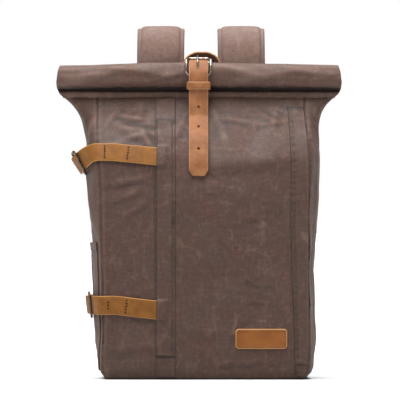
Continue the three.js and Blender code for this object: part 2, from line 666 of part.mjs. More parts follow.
// Places and surface directions along one side strap, from the front strip round to the back seam.
function sideLine(row) {
  const start = BODY_WIDTH * LEFT_STRIP[0].left - 1.6;
  const reach = SIDE_STRAP_WIDTH / 2;
  const front = [0, 0.25, 0.52, 0.77, 0.93].map((t, k) => {
    const x = mix(start, frontSeam(-1, row.corner), t);
    const z = NECK_HEIGHT * mix(row.front, row.corner, Math.min(k / 3, 1));
    const up = vec(x, frontFace(x, z + reach), z + reach).sub(vec(x, frontFace(x, z - reach), z - reach));
    return { place: vec(x, frontFace(x, z), z), up };
  });
  const side = [0.02, 0.1, 0.2, 0.32, 0.45, 0.58, 0.72, 0.85, 0.9].map((w) => {
    const h = w < 0.45 ? mix(row.corner, row.side, w / 0.45) : mix(row.side, row.back, (w - 0.45) / 0.45);
    const z = h * NECK_HEIGHT;
    const under = w < 0.1 ? 0 : row.under;
    const at = (height) => gussetPoint(-1, w, height / NECK_HEIGHT, under).setZ(height);
    return { place: at(z), up: at(z + reach).sub(at(z - reach)) };
  });
  return [...front, ...side];
}

for (const [name, row] of Object.entries(SIDE_STRAPS)) {
  const line = sideLine(row);
  const places = line.map(({ place }) => place);
  const plain = new Ground(places, -1, () => vec(0, 0, 1));
  const stops = line.map(({ place, up }) => ({ along: plain.nearest(place), ...up.normalize() }));
  const corner = stops[5].along;
  const buckle = stops[8].along;
  const rear = stops[12].along;
  const leanRows = [
    { along: 0, tilt: 0 },
    { along: corner - 16, tilt: 0 },
    { along: buckle - 8, tilt: row.tilt },
    { along: buckle + 22, tilt: row.tilt },
    { along: rear, tilt: 0 },
    { along: rear + 20, tilt: 0 },
  ];
  const ground = new Ground(places, -1, (along) => {
    const up = vec(column(stops, 'x', along, 'along'), column(stops, 'y', along, 'along'),
      column(stops, 'z', along, 'along'));
    const tilt = column(leanRows, 'tilt', along, 'along');
    return up.add(vec(-Math.sin(tilt), 0, Math.cos(tilt) - 1));
  });
  const far = buckle - 11;
  const hinge = buckle + 15;
  const lifts = [
    { along: 0, lift: 3 * GAP },
    { along: corner - 16, lift: 3 * GAP },
    { along: corner, lift: mix(1.5, row.stand, 0.3) },
    { along: far, lift: row.stand },
    { along: hinge, lift: row.stand + BAR + 2 * GAP },
    { along: hinge + 16, lift: row.stand + over + GAP },
  ];
  const rearLifts = [
    { along: hinge, lift: row.stand },
    { along: rear, lift: 3 * GAP },
    { along: rear + 14, lift: 3 * GAP },
  ];
  add(`${name}_side_strap`, ground.strap(GAP, hinge + 16, SIDE_STRAP_WIDTH, LEATHER, lifts, 30), FINISH.leather);
  add(`${name}_rear_strap`, ground.strap(hinge + BAR / 2 + GAP, rear + 8, SIDE_STRAP_WIDTH, LEATHER, rearLifts, 14),
    FINISH.leather);
  add(`${name}_side_buckle`, ground.frame(hinge, far, SIDE_STRAP_WIDTH + 2 * BAR, 4, BAR,
    row.stand + BAR / 2 - GAP, row.stand + LEATHER + BAR / 2 + 2 * GAP), FINISH.nickel);
}

// Grab handle: feet flat on the sloping back, the middle standing up behind the roll.
const HANDLE_X = HANDLE_SPAN * 0.07;
const HANDLE = [
  { out: 1.72, depth: 0, height: 0, turn: 0 },
  { out: 1.25, depth: 0, height: 0, turn: 0 },
  { out: 1.02, depth: 4, height: 0.07, turn: 0.35 },
  { out: 0.98, depth: 6, height: 0.3, turn: 0.9 },
  { out: 0.95, depth: 5, height: 0.62, turn: 1 },
  { out: 0.72, depth: 5, height: 0.9, turn: 1 },
  { out: 0.36, depth: 5, height: 0.99, turn: 1 },
  { out: 0, depth: 5, height: 1, turn: 1 },
];
{
  const footZ = NECK_HEIGHT * 0.931;
  const footY = backPlane(footZ / NECK_HEIGHT) + 3 * GAP;
  const slope = vec(0, backPlane((footZ - 8) / NECK_HEIGHT) - backPlane((footZ + 8) / NECK_HEIGHT), -16).normalize();
  const half = HANDLE_SPAN / 2;
  const rows = [...HANDLE, ...HANDLE.slice(0, -1).reverse().map((row) => ({ ...row, out: -row.out }))];
  const places = rows.map((row) => vec(HANDLE_X - half * row.out, footY + row.depth,
    mix(footZ, HANDLE_TOP - LEATHER - 1, row.height)));
  const curve = new THREE.CatmullRomCurve3(places, false, 'centripetal');
  const shares = steps(28);
  const stations = shares.map((share) => {
    const t = share * (rows.length - 1);
    const k = Math.min(Math.floor(t), rows.length - 2);
    const turn = mix(rows[k].turn, rows[k + 1].turn, t - k);
    const tangent = curve.getTangent(share);
    const width = slope.clone().lerp(vec(0, 1, 0), turn);
    width.addScaledVector(tangent, -width.dot(tangent)).normalize();
    return { place: curve.getPoint(share), width, normal: tangent.clone().cross(width).normalize() };
  });
  add('grab_handle', sweep(stations, () => flatSection(HANDLE_WIDTH, LEATHER + 1)), FINISH.leather);
}

// Shoulder straps with slider and webbing down to the lower corners of the back.
const STRAP_X = BODY_WIDTH * 0.0093;
for (const [name, side] of [['left', -1], ['right', 1]]) {
  const places = SHOULDER.map((row, k) => {
    const z = row.height * STRAPS_TOP;
    const seated = backPlane(z / NECK_HEIGHT) + GAP + (PAD_THICKNESS * row.thickness) / 2;
    const y = k === 0 ? seated : BODY_DEPTH / 2 + STRAP_REACH * row.depth;
    return vec(STRAP_X + (side * row.spread * PAD_SPACING) / 2, y, z);
  });
  const curve = new THREE.CatmullRomCurve3(places, false, 'centripetal');
  const shares = steps(24);
  const rowAt = (share, key) => {
    const t = share * (SHOULDER.length - 1);
    const k = Math.min(Math.floor(t), SHOULDER.length - 2);
    return mix(SHOULDER[k][key], SHOULDER[k + 1][key], t - k);
  };
  const stations = shares.map((share) => {
    const tangent = curve.getTangent(share);
    const width = vec(1, 0, 0).addScaledVector(tangent, -tangent.x).normalize();
    return { place: curve.getPoint(share), width, normal: width.clone().cross(tangent).normalize() };
  });
  add(`${name}_shoulder_strap`, sweep(stations, (k) => (
    paddedSection(PAD_WIDTH * rowAt(shares[k], 'width'), PAD_THICKNESS * rowAt(shares[k], 'thickness')))),
  FINISH.canvas);

  const end = stations[stations.length - 1];
  const down = curve.getTangent(1);
  const sliderLength = 26;
  const onLine = (along) => end.place.clone().addScaledVector(down, along);
  const flat = (place) => ({ place, width: end.width, normal: end.normal });
  add(`${name}_slider`, sweep(
    [flat(onLine(GAP)), flat(onLine(GAP + sliderLength))],
    () => flatSection(WEBBING_WIDTH + 8, 4).map(([a, b]) => [a, b - 2]),
  ), FINISH.nickel);
  const start = onLine(2 * GAP + sliderLength + 1.6);
  const anchor = BODY_WIDTH * 0.405;
  const lower = [
    start,
    vec(mix(start.x, side * anchor, 0.55), BODY_DEPTH * 0.59, start.z * 0.55),
    vec(side * anchor, BODY_DEPTH * 0.525, NECK_HEIGHT * 0.087),
    vec(side * anchor, BODY_DEPTH / 2 + 2 * GAP + WEBBING / 2, NECK_HEIGHT * 0.057),
    vec(side * anchor, BODY_DEPTH / 2 + 2 * GAP + WEBBING / 2, NECK_HEIGHT * 0.031),
  ];
  const lowerCurve = new THREE.CatmullRomCurve3(lower, false, 'centripetal');
  const lowerStations = steps(14).map((share) => {
    const tangent = lowerCurve.getTangent(share);
    const width = vec(1, 0, 0).addScaledVector(tangent, -tangent.x).normalize();
    return { place: lowerCurve.getPoint(share), width, normal: width.clone().cross(tangent).normalize() };
  });
  add(`${name}_webbing`, sweep(lowerStations, () => (
    flatSection(WEBBING_WIDTH, WEBBING).map(([a, b]) => [a, b - WEBBING / 2]))), FINISH.webbing);
}

export default group;
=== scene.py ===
"""Rolltop backpack in waxed canvas with leather straps, dressed for its portrait.

Metres throughout. X runs to the right as seen from the front, Y to the back, Z up, with the floor at Z = 0.
The tables hold shares of the named sizes, as the solid model's do.
"""

import logging
import math
from collections.abc import Callable, Sequence
from dataclasses import dataclass, field
from enum import Enum

import bpy
import numpy as np
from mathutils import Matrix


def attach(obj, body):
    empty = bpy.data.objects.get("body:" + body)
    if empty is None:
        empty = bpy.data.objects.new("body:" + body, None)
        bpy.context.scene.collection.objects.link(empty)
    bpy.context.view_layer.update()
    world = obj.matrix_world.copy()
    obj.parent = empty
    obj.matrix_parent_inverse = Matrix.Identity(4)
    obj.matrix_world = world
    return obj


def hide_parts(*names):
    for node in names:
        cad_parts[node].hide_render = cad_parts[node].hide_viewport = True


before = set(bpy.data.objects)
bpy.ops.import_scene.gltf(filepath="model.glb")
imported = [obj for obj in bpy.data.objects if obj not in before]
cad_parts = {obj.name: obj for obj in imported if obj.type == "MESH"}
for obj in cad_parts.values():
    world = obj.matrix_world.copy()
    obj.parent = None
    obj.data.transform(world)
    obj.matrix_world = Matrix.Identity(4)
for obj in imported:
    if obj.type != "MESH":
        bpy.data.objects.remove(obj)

LOG = logging.getLogger("rolltop_backpack")
Array = np.ndarray
Paint = dict[str, Array]
Tree = bpy.types.NodeTree
Socket = bpy.types.NodeSocket
MM = 0.001
SEED = 7


# Numbers along a table


def hermite(keys: Array, values: Array, at: Array) -> Array:
    """Smooth values between rows: a cubic through each pair of rows, its slope taken from the rows around.

    Args:
        keys: rising positions of the rows.
        values: the value at each row.
        at: positions to read.

    Returns:
        The values there, in the shape of at.
    """
    at = np.clip(np.asarray(at, float), keys[0], keys[-1])
    last = len(keys) - 1
    low = np.clip(np.searchsorted(keys, at, side="right") - 1, 0, last - 1)
    before, after = np.maximum(np.arange(last + 1) - 1, 0), np.minimum(np.arange(last + 1) + 1, last)
    slopes = (values[after] - values[before]) / (keys[after] - keys[before])
    span = keys[low + 1] - keys[low]
    t = (at - keys[low]) / span
    u = 1 - t
    ends = values[low] * (1 + 2 * t) * u * u + values[low + 1] * (1 + 2 * u) * t * t
    return ends + span * (slopes[low] * t * u * u - slopes[low + 1] * u * t * t)


class Profile:
    """Named columns of numbers against a rising first column."""

    def __init__(self, names: str, rows: Sequence[Sequence[float]]) -> None:
        """Keeps the rows as columns.

        Args:
            names: the column names, the first being the position.
            rows: one row of numbers per station.
        """
        table = np.array(rows, float)
        self.keys = table[:, 0]
        self.columns = dict(zip(names.split()[1:], table[:, 1:].T, strict=True))

    def at(self, name: str, share: Array) -> Array:
        """The column's smooth value at each share."""
        return hermite(self.keys, self.columns[name], share)


def mix(a: Array, b: Array, t: Array) -> Array:
    """A value t of the way from a to b."""
    return a + (b - a) * t


def ease(t: Array) -> Array:
    """A smooth step from 0 to 1."""
    t = np.clip(t, 0, 1)
    return t * t * (3 - 2 * t)


def unit(vectors: Array) -> Array:
    """The vectors at length 1."""
    return vectors / np.maximum(np.linalg.norm(vectors, axis=-1, keepdims=True), 1e-12)


def square_to(vectors: Array, axis: Array) -> Array:
    """The vectors without their part along an axis, at length 1."""
    return unit(vectors - axis * np.sum(vectors * axis, axis=-1, keepdims=True))


def run_lengths(points: Array) -> Array:
    """Distances along a line of points, from 0 at the first."""
    return np.concatenate([[0.0], np.cumsum(np.linalg.norm(np.diff(points, axis=0), axis=1))])


def bump(distance: Array, width: float) -> Array:
    """A bell curve of height 1 at distance 0."""
    return np.exp(-((distance / width) ** 2))


class Line:
    """A smooth line through points, read by the length along it."""

    def __init__(self, points: Array) -> None:
        """Fits a cubic through the points, spaced by the root of their distances, and measures it.

        Args:
            points: the points, one a row.
        """
        points = np.asarray(points, float)
        gaps = np.linalg.norm(np.diff(points, axis=0), axis=1)
        knots = np.concatenate([[0.0], np.cumsum(np.sqrt(gaps))])
        fine = np.linspace(0, knots[-1], 80 * len(points))
        self.places = np.stack([hermite(knots, points[:, k], fine) for k in range(3)], axis=1)
        self.lengths = run_lengths(self.places)
        self.length = float(self.lengths[-1])

    def at(self, along: Array) -> Array:
        """Places at distances along the line."""
        along = np.asarray(along, float)
        return np.stack([np.interp(along, self.lengths, self.places[:, k]) for k in range(3)], axis=-1)

    def tangent(self, along: Array) -> Array:
        """Directions of the line at distances along it."""
        along = np.clip(np.asarray(along, float), 0.002, self.length - 0.002)
        return unit(self.at(along + 0.002) - self.at(along - 0.002))

    def nearest(self, point: Sequence[float]) -> float:
        """The distance along the line at which it passes nearest to a point."""
        return float(self.lengths[np.argmin(np.linalg.norm(self.places - np.asarray(point), axis=1))])


# Meshes


def facing_out(points: Array, faces: Array, centre: Array) -> Array:
    """Turns all the faces round when most of their area looks towards the centre.

    Args:
        points: the mesh's points.
        faces: corner numbers, four to a face.
        centre: a point, or a point per face, that lies inside.

    Returns:
        The faces, outside forward.
    """
    corners = points[faces]
    normal = np.cross(corners[:, 2] - corners[:, 0], corners[:, 3] - corners[:, 1])
    out = np.sum(normal * (corners.mean(axis=1) - centre))
    return faces if out > 0 else faces[:, ::-1]


@dataclass
class Grid:
    """A sheet of points in rows and columns, with its flat lengths in metres and painted values."""

    points: Array
    flat: Array
    paint: Paint = field(default_factory=dict)

    def normals(self) -> Array:
        """Unit normals from the differences between neighbours along rows and columns."""
        across = np.gradient(self.points, axis=1)
        up = np.gradient(self.points, axis=0)
        return unit(np.cross(across, up))

    def faces(self, start: int = 0) -> Array:
        """Corner numbers of the grid's cells, four to a face."""
        rows, columns = self.points.shape[:2]
        corner = start + np.arange(rows - 1)[:, None] * columns + np.arange(columns - 1)[None, :]
        return np.stack([corner, corner + 1, corner + columns + 1, corner + columns], axis=-1).reshape(-1, 4)


def flat_lengths(points: Array) -> Array:
    """Lengths along the rows and up the columns of a grid, measured from its middle, for the cloth's weave.

    Args:
        points: points in rows and columns.

    Returns:
        Two lengths per point.
    """
    along = np.linalg.norm(np.diff(points, axis=1), axis=2)
    up = np.linalg.norm(np.diff(points, axis=0), axis=2)
    u = np.pad(np.cumsum(along, axis=1), ((0, 0), (1, 0)))
    v = np.pad(np.cumsum(up, axis=0), ((1, 0), (0, 0)))
    middle = u.shape[1] // 2
    u = u - u[:, middle : middle + 1]
    v = np.broadcast_to(v[:, middle : middle + 1], u.shape)
    return np.stack([u, v], axis=-1)


def mesh_object(
    name: str,
    points: Array,
    faces: Array,
    flat: Array,
    paint: Paint | None = None,
    caps: Sequence[Sequence[int]] = (),
) -> bpy.types.Object:
    """Makes an object of points and faces, with flat lengths as its texture map and painted point values.

    Args:
        name: the piece's name.
        points: one row per point.
        faces: corner numbers, four to a face.
        flat: flat lengths per point, in metres.
        paint: values per point, by name.
        caps: further faces with any number of corners.

    Returns:
        The object, smooth shaded, in the scene.
    """
    mesh = bpy.data.meshes.new(name)
    mesh.from_pydata(points.reshape(-1, 3).tolist(), [], faces.tolist() + [list(cap) for cap in caps])
    corners = np.empty(len(mesh.loops), dtype=np.int32)
    mesh.loops.foreach_get("vertex_index", corners)
    layer = mesh.uv_layers.new(name="cloth")
    layer.data.foreach_set("uv", flat.reshape(-1, 2)[corners].astype(np.float32).ravel())
    for key, values in (paint or {}).items():
        attribute = mesh.attributes.new(key, "FLOAT", "POINT")
        attribute.data.foreach_set("value", np.asarray(values, np.float32).ravel())
    mesh.polygons.foreach_set("use_smooth", np.ones(len(mesh.polygons), dtype=bool))
    mesh.update()
    obj = bpy.data.objects.new(name, mesh)
    bpy.context.scene.collection.objects.link(obj)
    return obj


def sheet_object(name: str, grid: Grid, centre: Array, thickness: float = 0.0) -> bpy.types.Object:
    """Makes an object of one grid, outside forward, and gives it thickness inward where asked.

    Args:
        name: the piece's name.
        grid: its surface.
        centre: a point inside.
        thickness: how thick the sheet is, or 0 for a bare surface.

    Returns:
        The object.
    """
    flat = grid.points.reshape(-1, 3)
    faces = facing_out(flat, grid.faces(), centre)
    obj = mesh_object(name, flat, faces, grid.flat, grid.paint)
    if thickness:
        wall = obj.modifiers.new("wall", "SOLIDIFY")
        wall.thickness = thickness
        wall.offset = -1
        wall.use_rim = True
    return obj


def swept_object(
    name: str,
    places: Array,
    width: Array,
    normal: Array,
    section: Array,
    paint: Callable[[Array, Array], Paint] | None = None,
    closed: bool = False,
) -> bpy.types.Object:
    """Carries a closed section along a line of stations.

    A point is its station's place, plus its first number along the width axis and its second along the normal.

    Args:
        name: the piece's name.
        places: one place per station.
        width: the width axis per station.
        normal: the thickness axis per station.
        section: stations by points by two, or one section for all.
        paint: gives painted values from the section's two numbers.
        closed: whether the line runs round to its start.

    Returns:
        The closed object.
    """
    count = len(places)
    section = np.broadcast_to(section, (count, *section.shape[-2:]))
    section = np.concatenate([section, section[:, :1]], axis=1)
    points = places[:, None] + section[..., :1] * width[:, None] + section[..., 1:] * normal[:, None]
    round_it = np.linalg.norm(np.diff(section, axis=1), axis=2)
    across = np.pad(np.cumsum(round_it, axis=1), ((0, 0), (1, 0)))
    along = run_lengths(places)
    flat = np.stack([across, np.broadcast_to(along[:, None], across.shape)], axis=-1)
    painted = paint(section[..., 0], section[..., 1]) if paint else {}
    if closed:
        last = along[-1] + np.linalg.norm(places[0] - places[-1])
        points = np.concatenate([points, points[:1]])
        flat = np.concatenate([flat, np.stack([across[:1], np.full_like(across[:1], last)], axis=-1)])
        painted = {key: np.concatenate([value, value[:1]]) for key, value in painted.items()}
    grid = Grid(points, flat, painted)
    middles = np.repeat(
        np.concatenate([places, places[:1]])[: len(points) - 1] if closed else places[:-1],
        section.shape[1] - 1, axis=0,
    )
    faces = grid.faces()
    turned = facing_out(points.reshape(-1, 3), faces, middles)
    caps = []
    if not closed:
        ring = list(range(section.shape[1] - 1))
        end = [(len(points) - 1) * section.shape[1] + k for k in ring]
        caps = [ring[::-1], end] if turned is faces else [ring, end[::-1]]
    obj = mesh_object(name, points.reshape(-1, 3), turned, flat, painted, caps)
    weld = obj.modifiers.new("seam", "WELD")
    weld.merge_threshold = 1e-6
    return obj


def strap_section(width: float, thickness: float, across: int = 9, crown: float = 0.0) -> Array:
    """A flat band with rounded edges, its underside at 0.

    The edges are half circles of the thickness, and the crown lifts the top by a parabola across the width.

    Args:
        width: the band's width.
        thickness: the band's thickness.
        across: points along the top and along the underside.
        crown: how far the middle of the top stands higher.

    Returns:
        Points of the section in order.
    """
    radius = thickness / 2
    flat = np.linspace(-1, 1, across) * (width / 2 - radius)
    turn = np.linspace(-90, 90, 7)[1:-1] * math.pi / 180
    right = np.stack([width / 2 - radius + radius * np.cos(turn), radius + radius * np.sin(turn)], axis=1)
    top = np.stack([flat[::-1], thickness + crown * (1 - (2 * flat[::-1] / width) ** 2)], axis=1)
    left = np.stack([-right[::-1, 0], right[::-1, 1]], axis=1)
    under = np.stack([flat, np.zeros(across)], axis=1)
    return np.concatenate([under, right, top, left])


def round_section(diameter: float, sides: int = 16) -> Array:
    """A circle of points."""
    turn = np.linspace(0, 2 * math.pi, sides, endpoint=False)
    return diameter / 2 * np.stack([np.cos(turn), np.sin(turn)], axis=1)


def edge_paint(width: float, reach: float = 1.6 * MM) -> Callable[[Array, Array], Paint]:
    """Paints the band's two edges, falling off over the reach: paler cut edges with a painted highlight along
    them.
    """

    def paint(across: Array, _: Array) -> Paint:
        """Edge is 1 at the rim and 0 beyond the reach."""
        return {"edge": np.clip(1 - (width / 2 - np.abs(across)) / reach, 0, 1)}

    return paint


def even_paint(**values: float) -> Callable[[Array, Array], Paint]:
    """Paints every point of a piece alike, with a value to each name."""

    def paint(across: Array, _: Array) -> Paint:
        """The same values at every point."""
        return {name: np.full_like(across, value) for name, value in values.items()}

    return paint


# Finishes


def srgb(code: str) -> tuple[float, float, float, float]:
    """A hex colour as linear light.

    Args:
        code: a hash and six hex digits.

    Returns:
        Red, green, blue and a full alpha.
    """
    parts = [int(code[k : k + 2], 16) / 255 for k in (1, 3, 5)]
    linear = [p / 12.92 if p <= 0.04045 else ((p + 0.055) / 1.055) ** 2.4 for p in parts]
    return (*linear, 1.0)


def feed(tree: Tree, node: bpy.types.Node, inputs: dict) -> None:
    """Feeds a node's inputs by name or number: a socket is linked, a plain value is set on the input."""
    for key, value in inputs.items():
        if isinstance(value, Socket):
            tree.links.new(value, node.inputs[key])
        else:
            node.inputs[key].default_value = value


def add_node(tree: Tree, kind: str, settings: dict | None = None, links: dict | None = None) -> bpy.types.Node:
    """Adds a node with its settings and links.

    Args:
        tree: the node tree.
        kind: the node's type name.
        settings: the node's properties by name.
        links: what feeds each input, by name or number: a socket or a plain value.

    Returns:
        The node.
    """
    node = tree.nodes.new(kind)
    for key, value in (settings or {}).items():
        setattr(node, key, value)
    feed(tree, node, links or {})
    return node


class Coordinates(Enum):
    """Where a finish reads its pattern."""

    OBJECT = "Object"
    FLAT = "UV"


def new_tree(name: str) -> tuple[bpy.types.Material, Tree, bpy.types.Node]:
    """An empty material, its tree and its surface shader.

    Args:
        name: the material's name.

    Returns:
        The material, its tree and its shader.
    """
    material = bpy.data.materials.new(name)
    material.use_nodes = True
    tree = material.node_tree
    tree.nodes.clear()
    shader = add_node(tree, "ShaderNodeBsdfPrincipled")
    add_node(tree, "ShaderNodeOutputMaterial", links={"Surface": shader.outputs[0]})
    return material, tree, shader


def place(tree: Tree, source: Coordinates, scale: float, stretch: Sequence[float] = (1, 1, 1)) -> Socket:
    """Coordinates for a pattern whose feature is scale metres across, stretched along each axis.

    Args:
        tree: the node tree.
        source: which coordinates are read.
        scale: the feature's size.
        stretch: the feature's length along each axis, in sizes.

    Returns:
        The coordinates.
    """
    read = add_node(tree, "ShaderNodeTexCoord").outputs[source.value]
    factors = tuple(1 / (scale * axis) for axis in stretch)
    return add_node(tree, "ShaderNodeMapping", links={"Scale": factors, "Vector": read}).outputs[0]


def noise(
    tree: Tree, size: float, detail: float, roughness: float = 0.5, distortion: float = 0.0,
    stretch: Sequence[float] = (1, 1, 1),
) -> Socket:
    """Blotches of about a size in metres.

    Args:
        tree: the node tree.
        size: how far apart the blotches are.
        detail: how many finer layers lie over them.
        roughness: how strong the finer layers are.
        distortion: how far the blotches are drawn out of shape.
        stretch: their length along each axis, in sizes.

    Returns:
        The blotches' value, around 0.5.
    """
    links = {"Scale": 1.0, "Detail": detail, "Roughness": roughness, "Distortion": distortion}
    links["Vector"] = place(tree, Coordinates.OBJECT, size, stretch)
    return add_node(tree, "ShaderNodeTexNoise", links=links).outputs[0]


def painted(tree: Tree, name: str) -> Socket:
    """A value painted on the piece's points."""
    return add_node(tree, "ShaderNodeAttribute", {"attribute_name": name}).outputs[2]


def calculate(tree: Tree, operation: str, *values: Socket | float) -> Socket:
    """The result of a sum of sockets and plain numbers."""
    return add_node(tree, "ShaderNodeMath", {"operation": operation}, dict(enumerate(values))).outputs[0]


def blend(tree: Tree, factor: Socket, first: Socket | tuple, second: Socket | tuple) -> Socket:
    """Mixes two colours; each is a socket or a plain colour."""
    settings = {"data_type": "RGBA", "blend_type": "MIX"}
    return add_node(tree, "ShaderNodeMix", settings, {0: factor, 6: first, 7: second}).outputs[2]


def ramp(tree: Tree, value: Socket, low: float, high: float, to_low: float = 0, to_high: float = 1) -> Socket:
    """A value stretched from one range to another and held there."""
    links = {0: value, 1: low, 2: high, 3: to_low, 4: to_high}
    return add_node(tree, "ShaderNodeMapRange", links=links).outputs[0]


def bumped(tree: Tree, height: Socket, strength: float, distance: float) -> Socket:
    """Normals tilted by a height."""
    links = {"Strength": strength, "Distance": distance, "Height": height}
    return add_node(tree, "ShaderNodeBump", links=links).outputs[0]


@dataclass(frozen=True)
class WaxedCanvas:
    """Waxed cotton canvas: plain weave rubbed with wax, which darkens it and pales where it is handled.

    The weave's threads are drawn 0.57 mm apart, as on the real cloth.
    """

    name: str
    base: str = "#422e27"
    patch: str = "#482d23"
    rubbed: str = "#745c50"
    shade: str = "#33261f"
    # The colour of the painted shade in hollows, seams and slits.
    hollow: str = "#17100d"
    thread: float = 0.5655 * MM
    mottle: float = 34 * MM
    roughness: float = 0.68
    relief: float = 0.22
    cracked: float = 0.22

    def build(self) -> bpy.types.Material:
        """Cloth whose colour wanders between wax patches and rubbed ridges, over a woven bump."""
        material, tree, shader = new_tree(self.name)
        rubbed, shade = srgb(self.rubbed), srgb(self.shade)
        broad = noise(tree, self.mottle, 5.0, 0.62, 0.6)
        fine = noise(tree, 5 * MM, 6.0, 0.7)
        streak = noise(tree, 12 * MM, 4.0, 0.6, stretch=(1, 1, 3.2))
        colour = blend(tree, ramp(tree, broad, 0.4, 0.72, 0, 0.8), srgb(self.base), srgb(self.patch))
        colour = blend(tree, ramp(tree, streak, 0.55, 0.8, 0, 0.3), colour, rubbed)
        colour = blend(tree, ramp(tree, fine, 0.5, 0.3, 0, 0.5), colour, shade)
        # Thick and thin threads both ways, drawn three times as coarse as real slubs so that they show.
        for stretch in ((1, 1, 3), (3, 3, 1)):
            slub = noise(tree, 3.4 * MM, 2.0, 0.6, stretch=stretch)
            colour = blend(tree, ramp(tree, slub, 0.52, 0.7, 0, 0.12), colour, rubbed)
            colour = blend(tree, ramp(tree, slub, 0.48, 0.3, 0, 0.22), colour, shade)
        # Folding cracks the wax along thin wandering lines, which stay paler.
        off_line = calculate(tree, "SUBTRACT", noise(tree, 85 * MM, 2.0, 0.45, 0.35), 0.5)
        line = ramp(tree, calculate(tree, "ABSOLUTE", off_line), 0.016, 0.0, 0.0, self.cracked)
        colour = blend(tree, calculate(tree, "MULTIPLY", line, ramp(tree, streak, 0.42, 0.6)), colour, rubbed)
        # Wear painted on ridges and edges pales the wax; painted shade darkens hollows, seams, slits and the
        # band under the roll towards the hollow colour.
        colour = blend(tree, ramp(tree, painted(tree, "wear"), 0.0, 1.0, 0, 0.75), colour, rubbed)
        colour = blend(tree, ramp(tree, painted(tree, "deep"), 0.0, 1.0, 0, 0.9), colour, srgb(self.hollow))
        # Warp and weft: two sets of bands across each other. A wave node repeats every 2 pi / 20.
        weave_at = place(tree, Coordinates.FLAT, self.thread * 20 / (2 * math.pi))
        bands = {"Scale": 1.0, "Distortion": 0.35, "Detail": 1.0, "Vector": weave_at}
        warp, weft = (
            add_node(tree, "ShaderNodeTexWave", {"bands_direction": way}, bands).outputs[1]
            for way in ("X", "Y")
        )
        height = calculate(tree, "MULTIPLY_ADD", calculate(tree, "MULTIPLY", warp, weft), 0.6, fine)
        feed(tree, shader, {
            "Base Color": colour,
            "Roughness": ramp(tree, broad, 0.3, 0.7, self.roughness - 0.1, self.roughness + 0.08),
            "Normal": bumped(tree, height, self.relief, 0.5 * MM),
            "Sheen Weight": 0.06,
            "Sheen Roughness": 0.6,
            "Sheen Tint": srgb("#c9b3a6"),
            "Specular IOR Level": 0.33,
        })
        return material


@dataclass(frozen=True)
class TannedLeather:
    """Vegetable-tanned cowhide: pebbled and lightly oiled, darker in painted shade, pale at its cut edges,
    partly a painted highlight.
    """

    name: str
    base: str = "#784d1e"
    dark: str = "#593411"
    light: str = "#8a5c2b"
    edge: str = "#a37944"
    pebble: float = 1.3 * MM
    roughness: float = 0.58

    def build(self) -> bpy.types.Material:
        """Hide mottled over 20 mm, with pebbles that catch the light and paler edges."""
        material, tree, shader = new_tree(self.name)
        dark = srgb(self.dark)
        broad = noise(tree, 20 * MM, 5.0, 0.6, 0.4)
        fine = noise(tree, 2.5 * MM, 6.0, 0.75)
        pebbles = {"Scale": 1.0, "Vector": place(tree, Coordinates.OBJECT, self.pebble)}
        grain = add_node(tree, "ShaderNodeTexVoronoi", {"feature": "DISTANCE_TO_EDGE"}, pebbles).outputs[0]
        colour = blend(tree, ramp(tree, broad, 0.56, 0.3, 0, 0.75), srgb(self.base), dark)
        colour = blend(tree, ramp(tree, broad, 0.55, 0.75, 0, 0.6), colour, srgb(self.light))
        colour = blend(tree, ramp(tree, fine, 0.5, 0.25, 0, 0.35), colour, dark)
        # Pale cut edges, partly a painted highlight.
        colour = blend(tree, ramp(tree, painted(tree, "edge"), 0.15, 0.9, 0, 0.85), colour, srgb(self.edge))
        # Painted shade darkens the leather towards its dark colour: the handle's inner face and the label's
        # sunken field.
        colour = blend(tree, ramp(tree, painted(tree, "deep"), 0.0, 1.0, 0, 0.85), colour, dark)
        height = calculate(tree, "MULTIPLY_ADD", ramp(tree, grain, 0.0, 0.16), 0.5, fine)
        feed(tree, shader, {
            "Base Color": colour,
            "Roughness": ramp(tree, broad, 0.3, 0.7, self.roughness - 0.1, self.roughness + 0.12),
            "Normal": bumped(tree, height, 0.28, 0.35 * MM),
            "Specular IOR Level": 0.18,
        })
        return material


@dataclass(frozen=True)
class PlatedMetal:
    """Die-cast zinc plated with nickel: bright, brushed softer by wear, with a dull film in patches."""

    name: str
    base: str = "#9d968b"
    dull: str = "#544d46"
    roughness: float = 0.28

    def build(self) -> bpy.types.Material:
        """Metal with fine scratches that break its reflection and a dull film in patches."""
        material, tree, shader = new_tree(self.name)
        film = noise(tree, 6 * MM, 4.0)
        scratch = noise(tree, 0.8 * MM, 3.0, stretch=(8, 1, 1))
        feed(tree, shader, {
            "Base Color": blend(tree, ramp(tree, film, 0.45, 0.7), srgb(self.base), srgb(self.dull)),
            "Roughness": ramp(tree, scratch, 0.3, 0.7, self.roughness - 0.08, self.roughness + 0.14),
            "Metallic": 1.0,
        })
        return material


@dataclass(frozen=True)
class Thread:
    """Bonded nylon sewing thread, waxed: a faint gloss over a fine twist."""

    name: str
    base: str = "#3e2c23"
    dark: str = "#2a1c15"

    def build(self) -> bpy.types.Material:
        """Thread whose colour varies between stitches."""
        material, tree, shader = new_tree(self.name)
        spread = ramp(tree, noise(tree, 4 * MM, 2.0), 0.35, 0.65)
        colour = blend(tree, spread, srgb(self.base), srgb(self.dark))
        feed(tree, shader, {"Base Color": colour, "Roughness": 0.55})
        return material


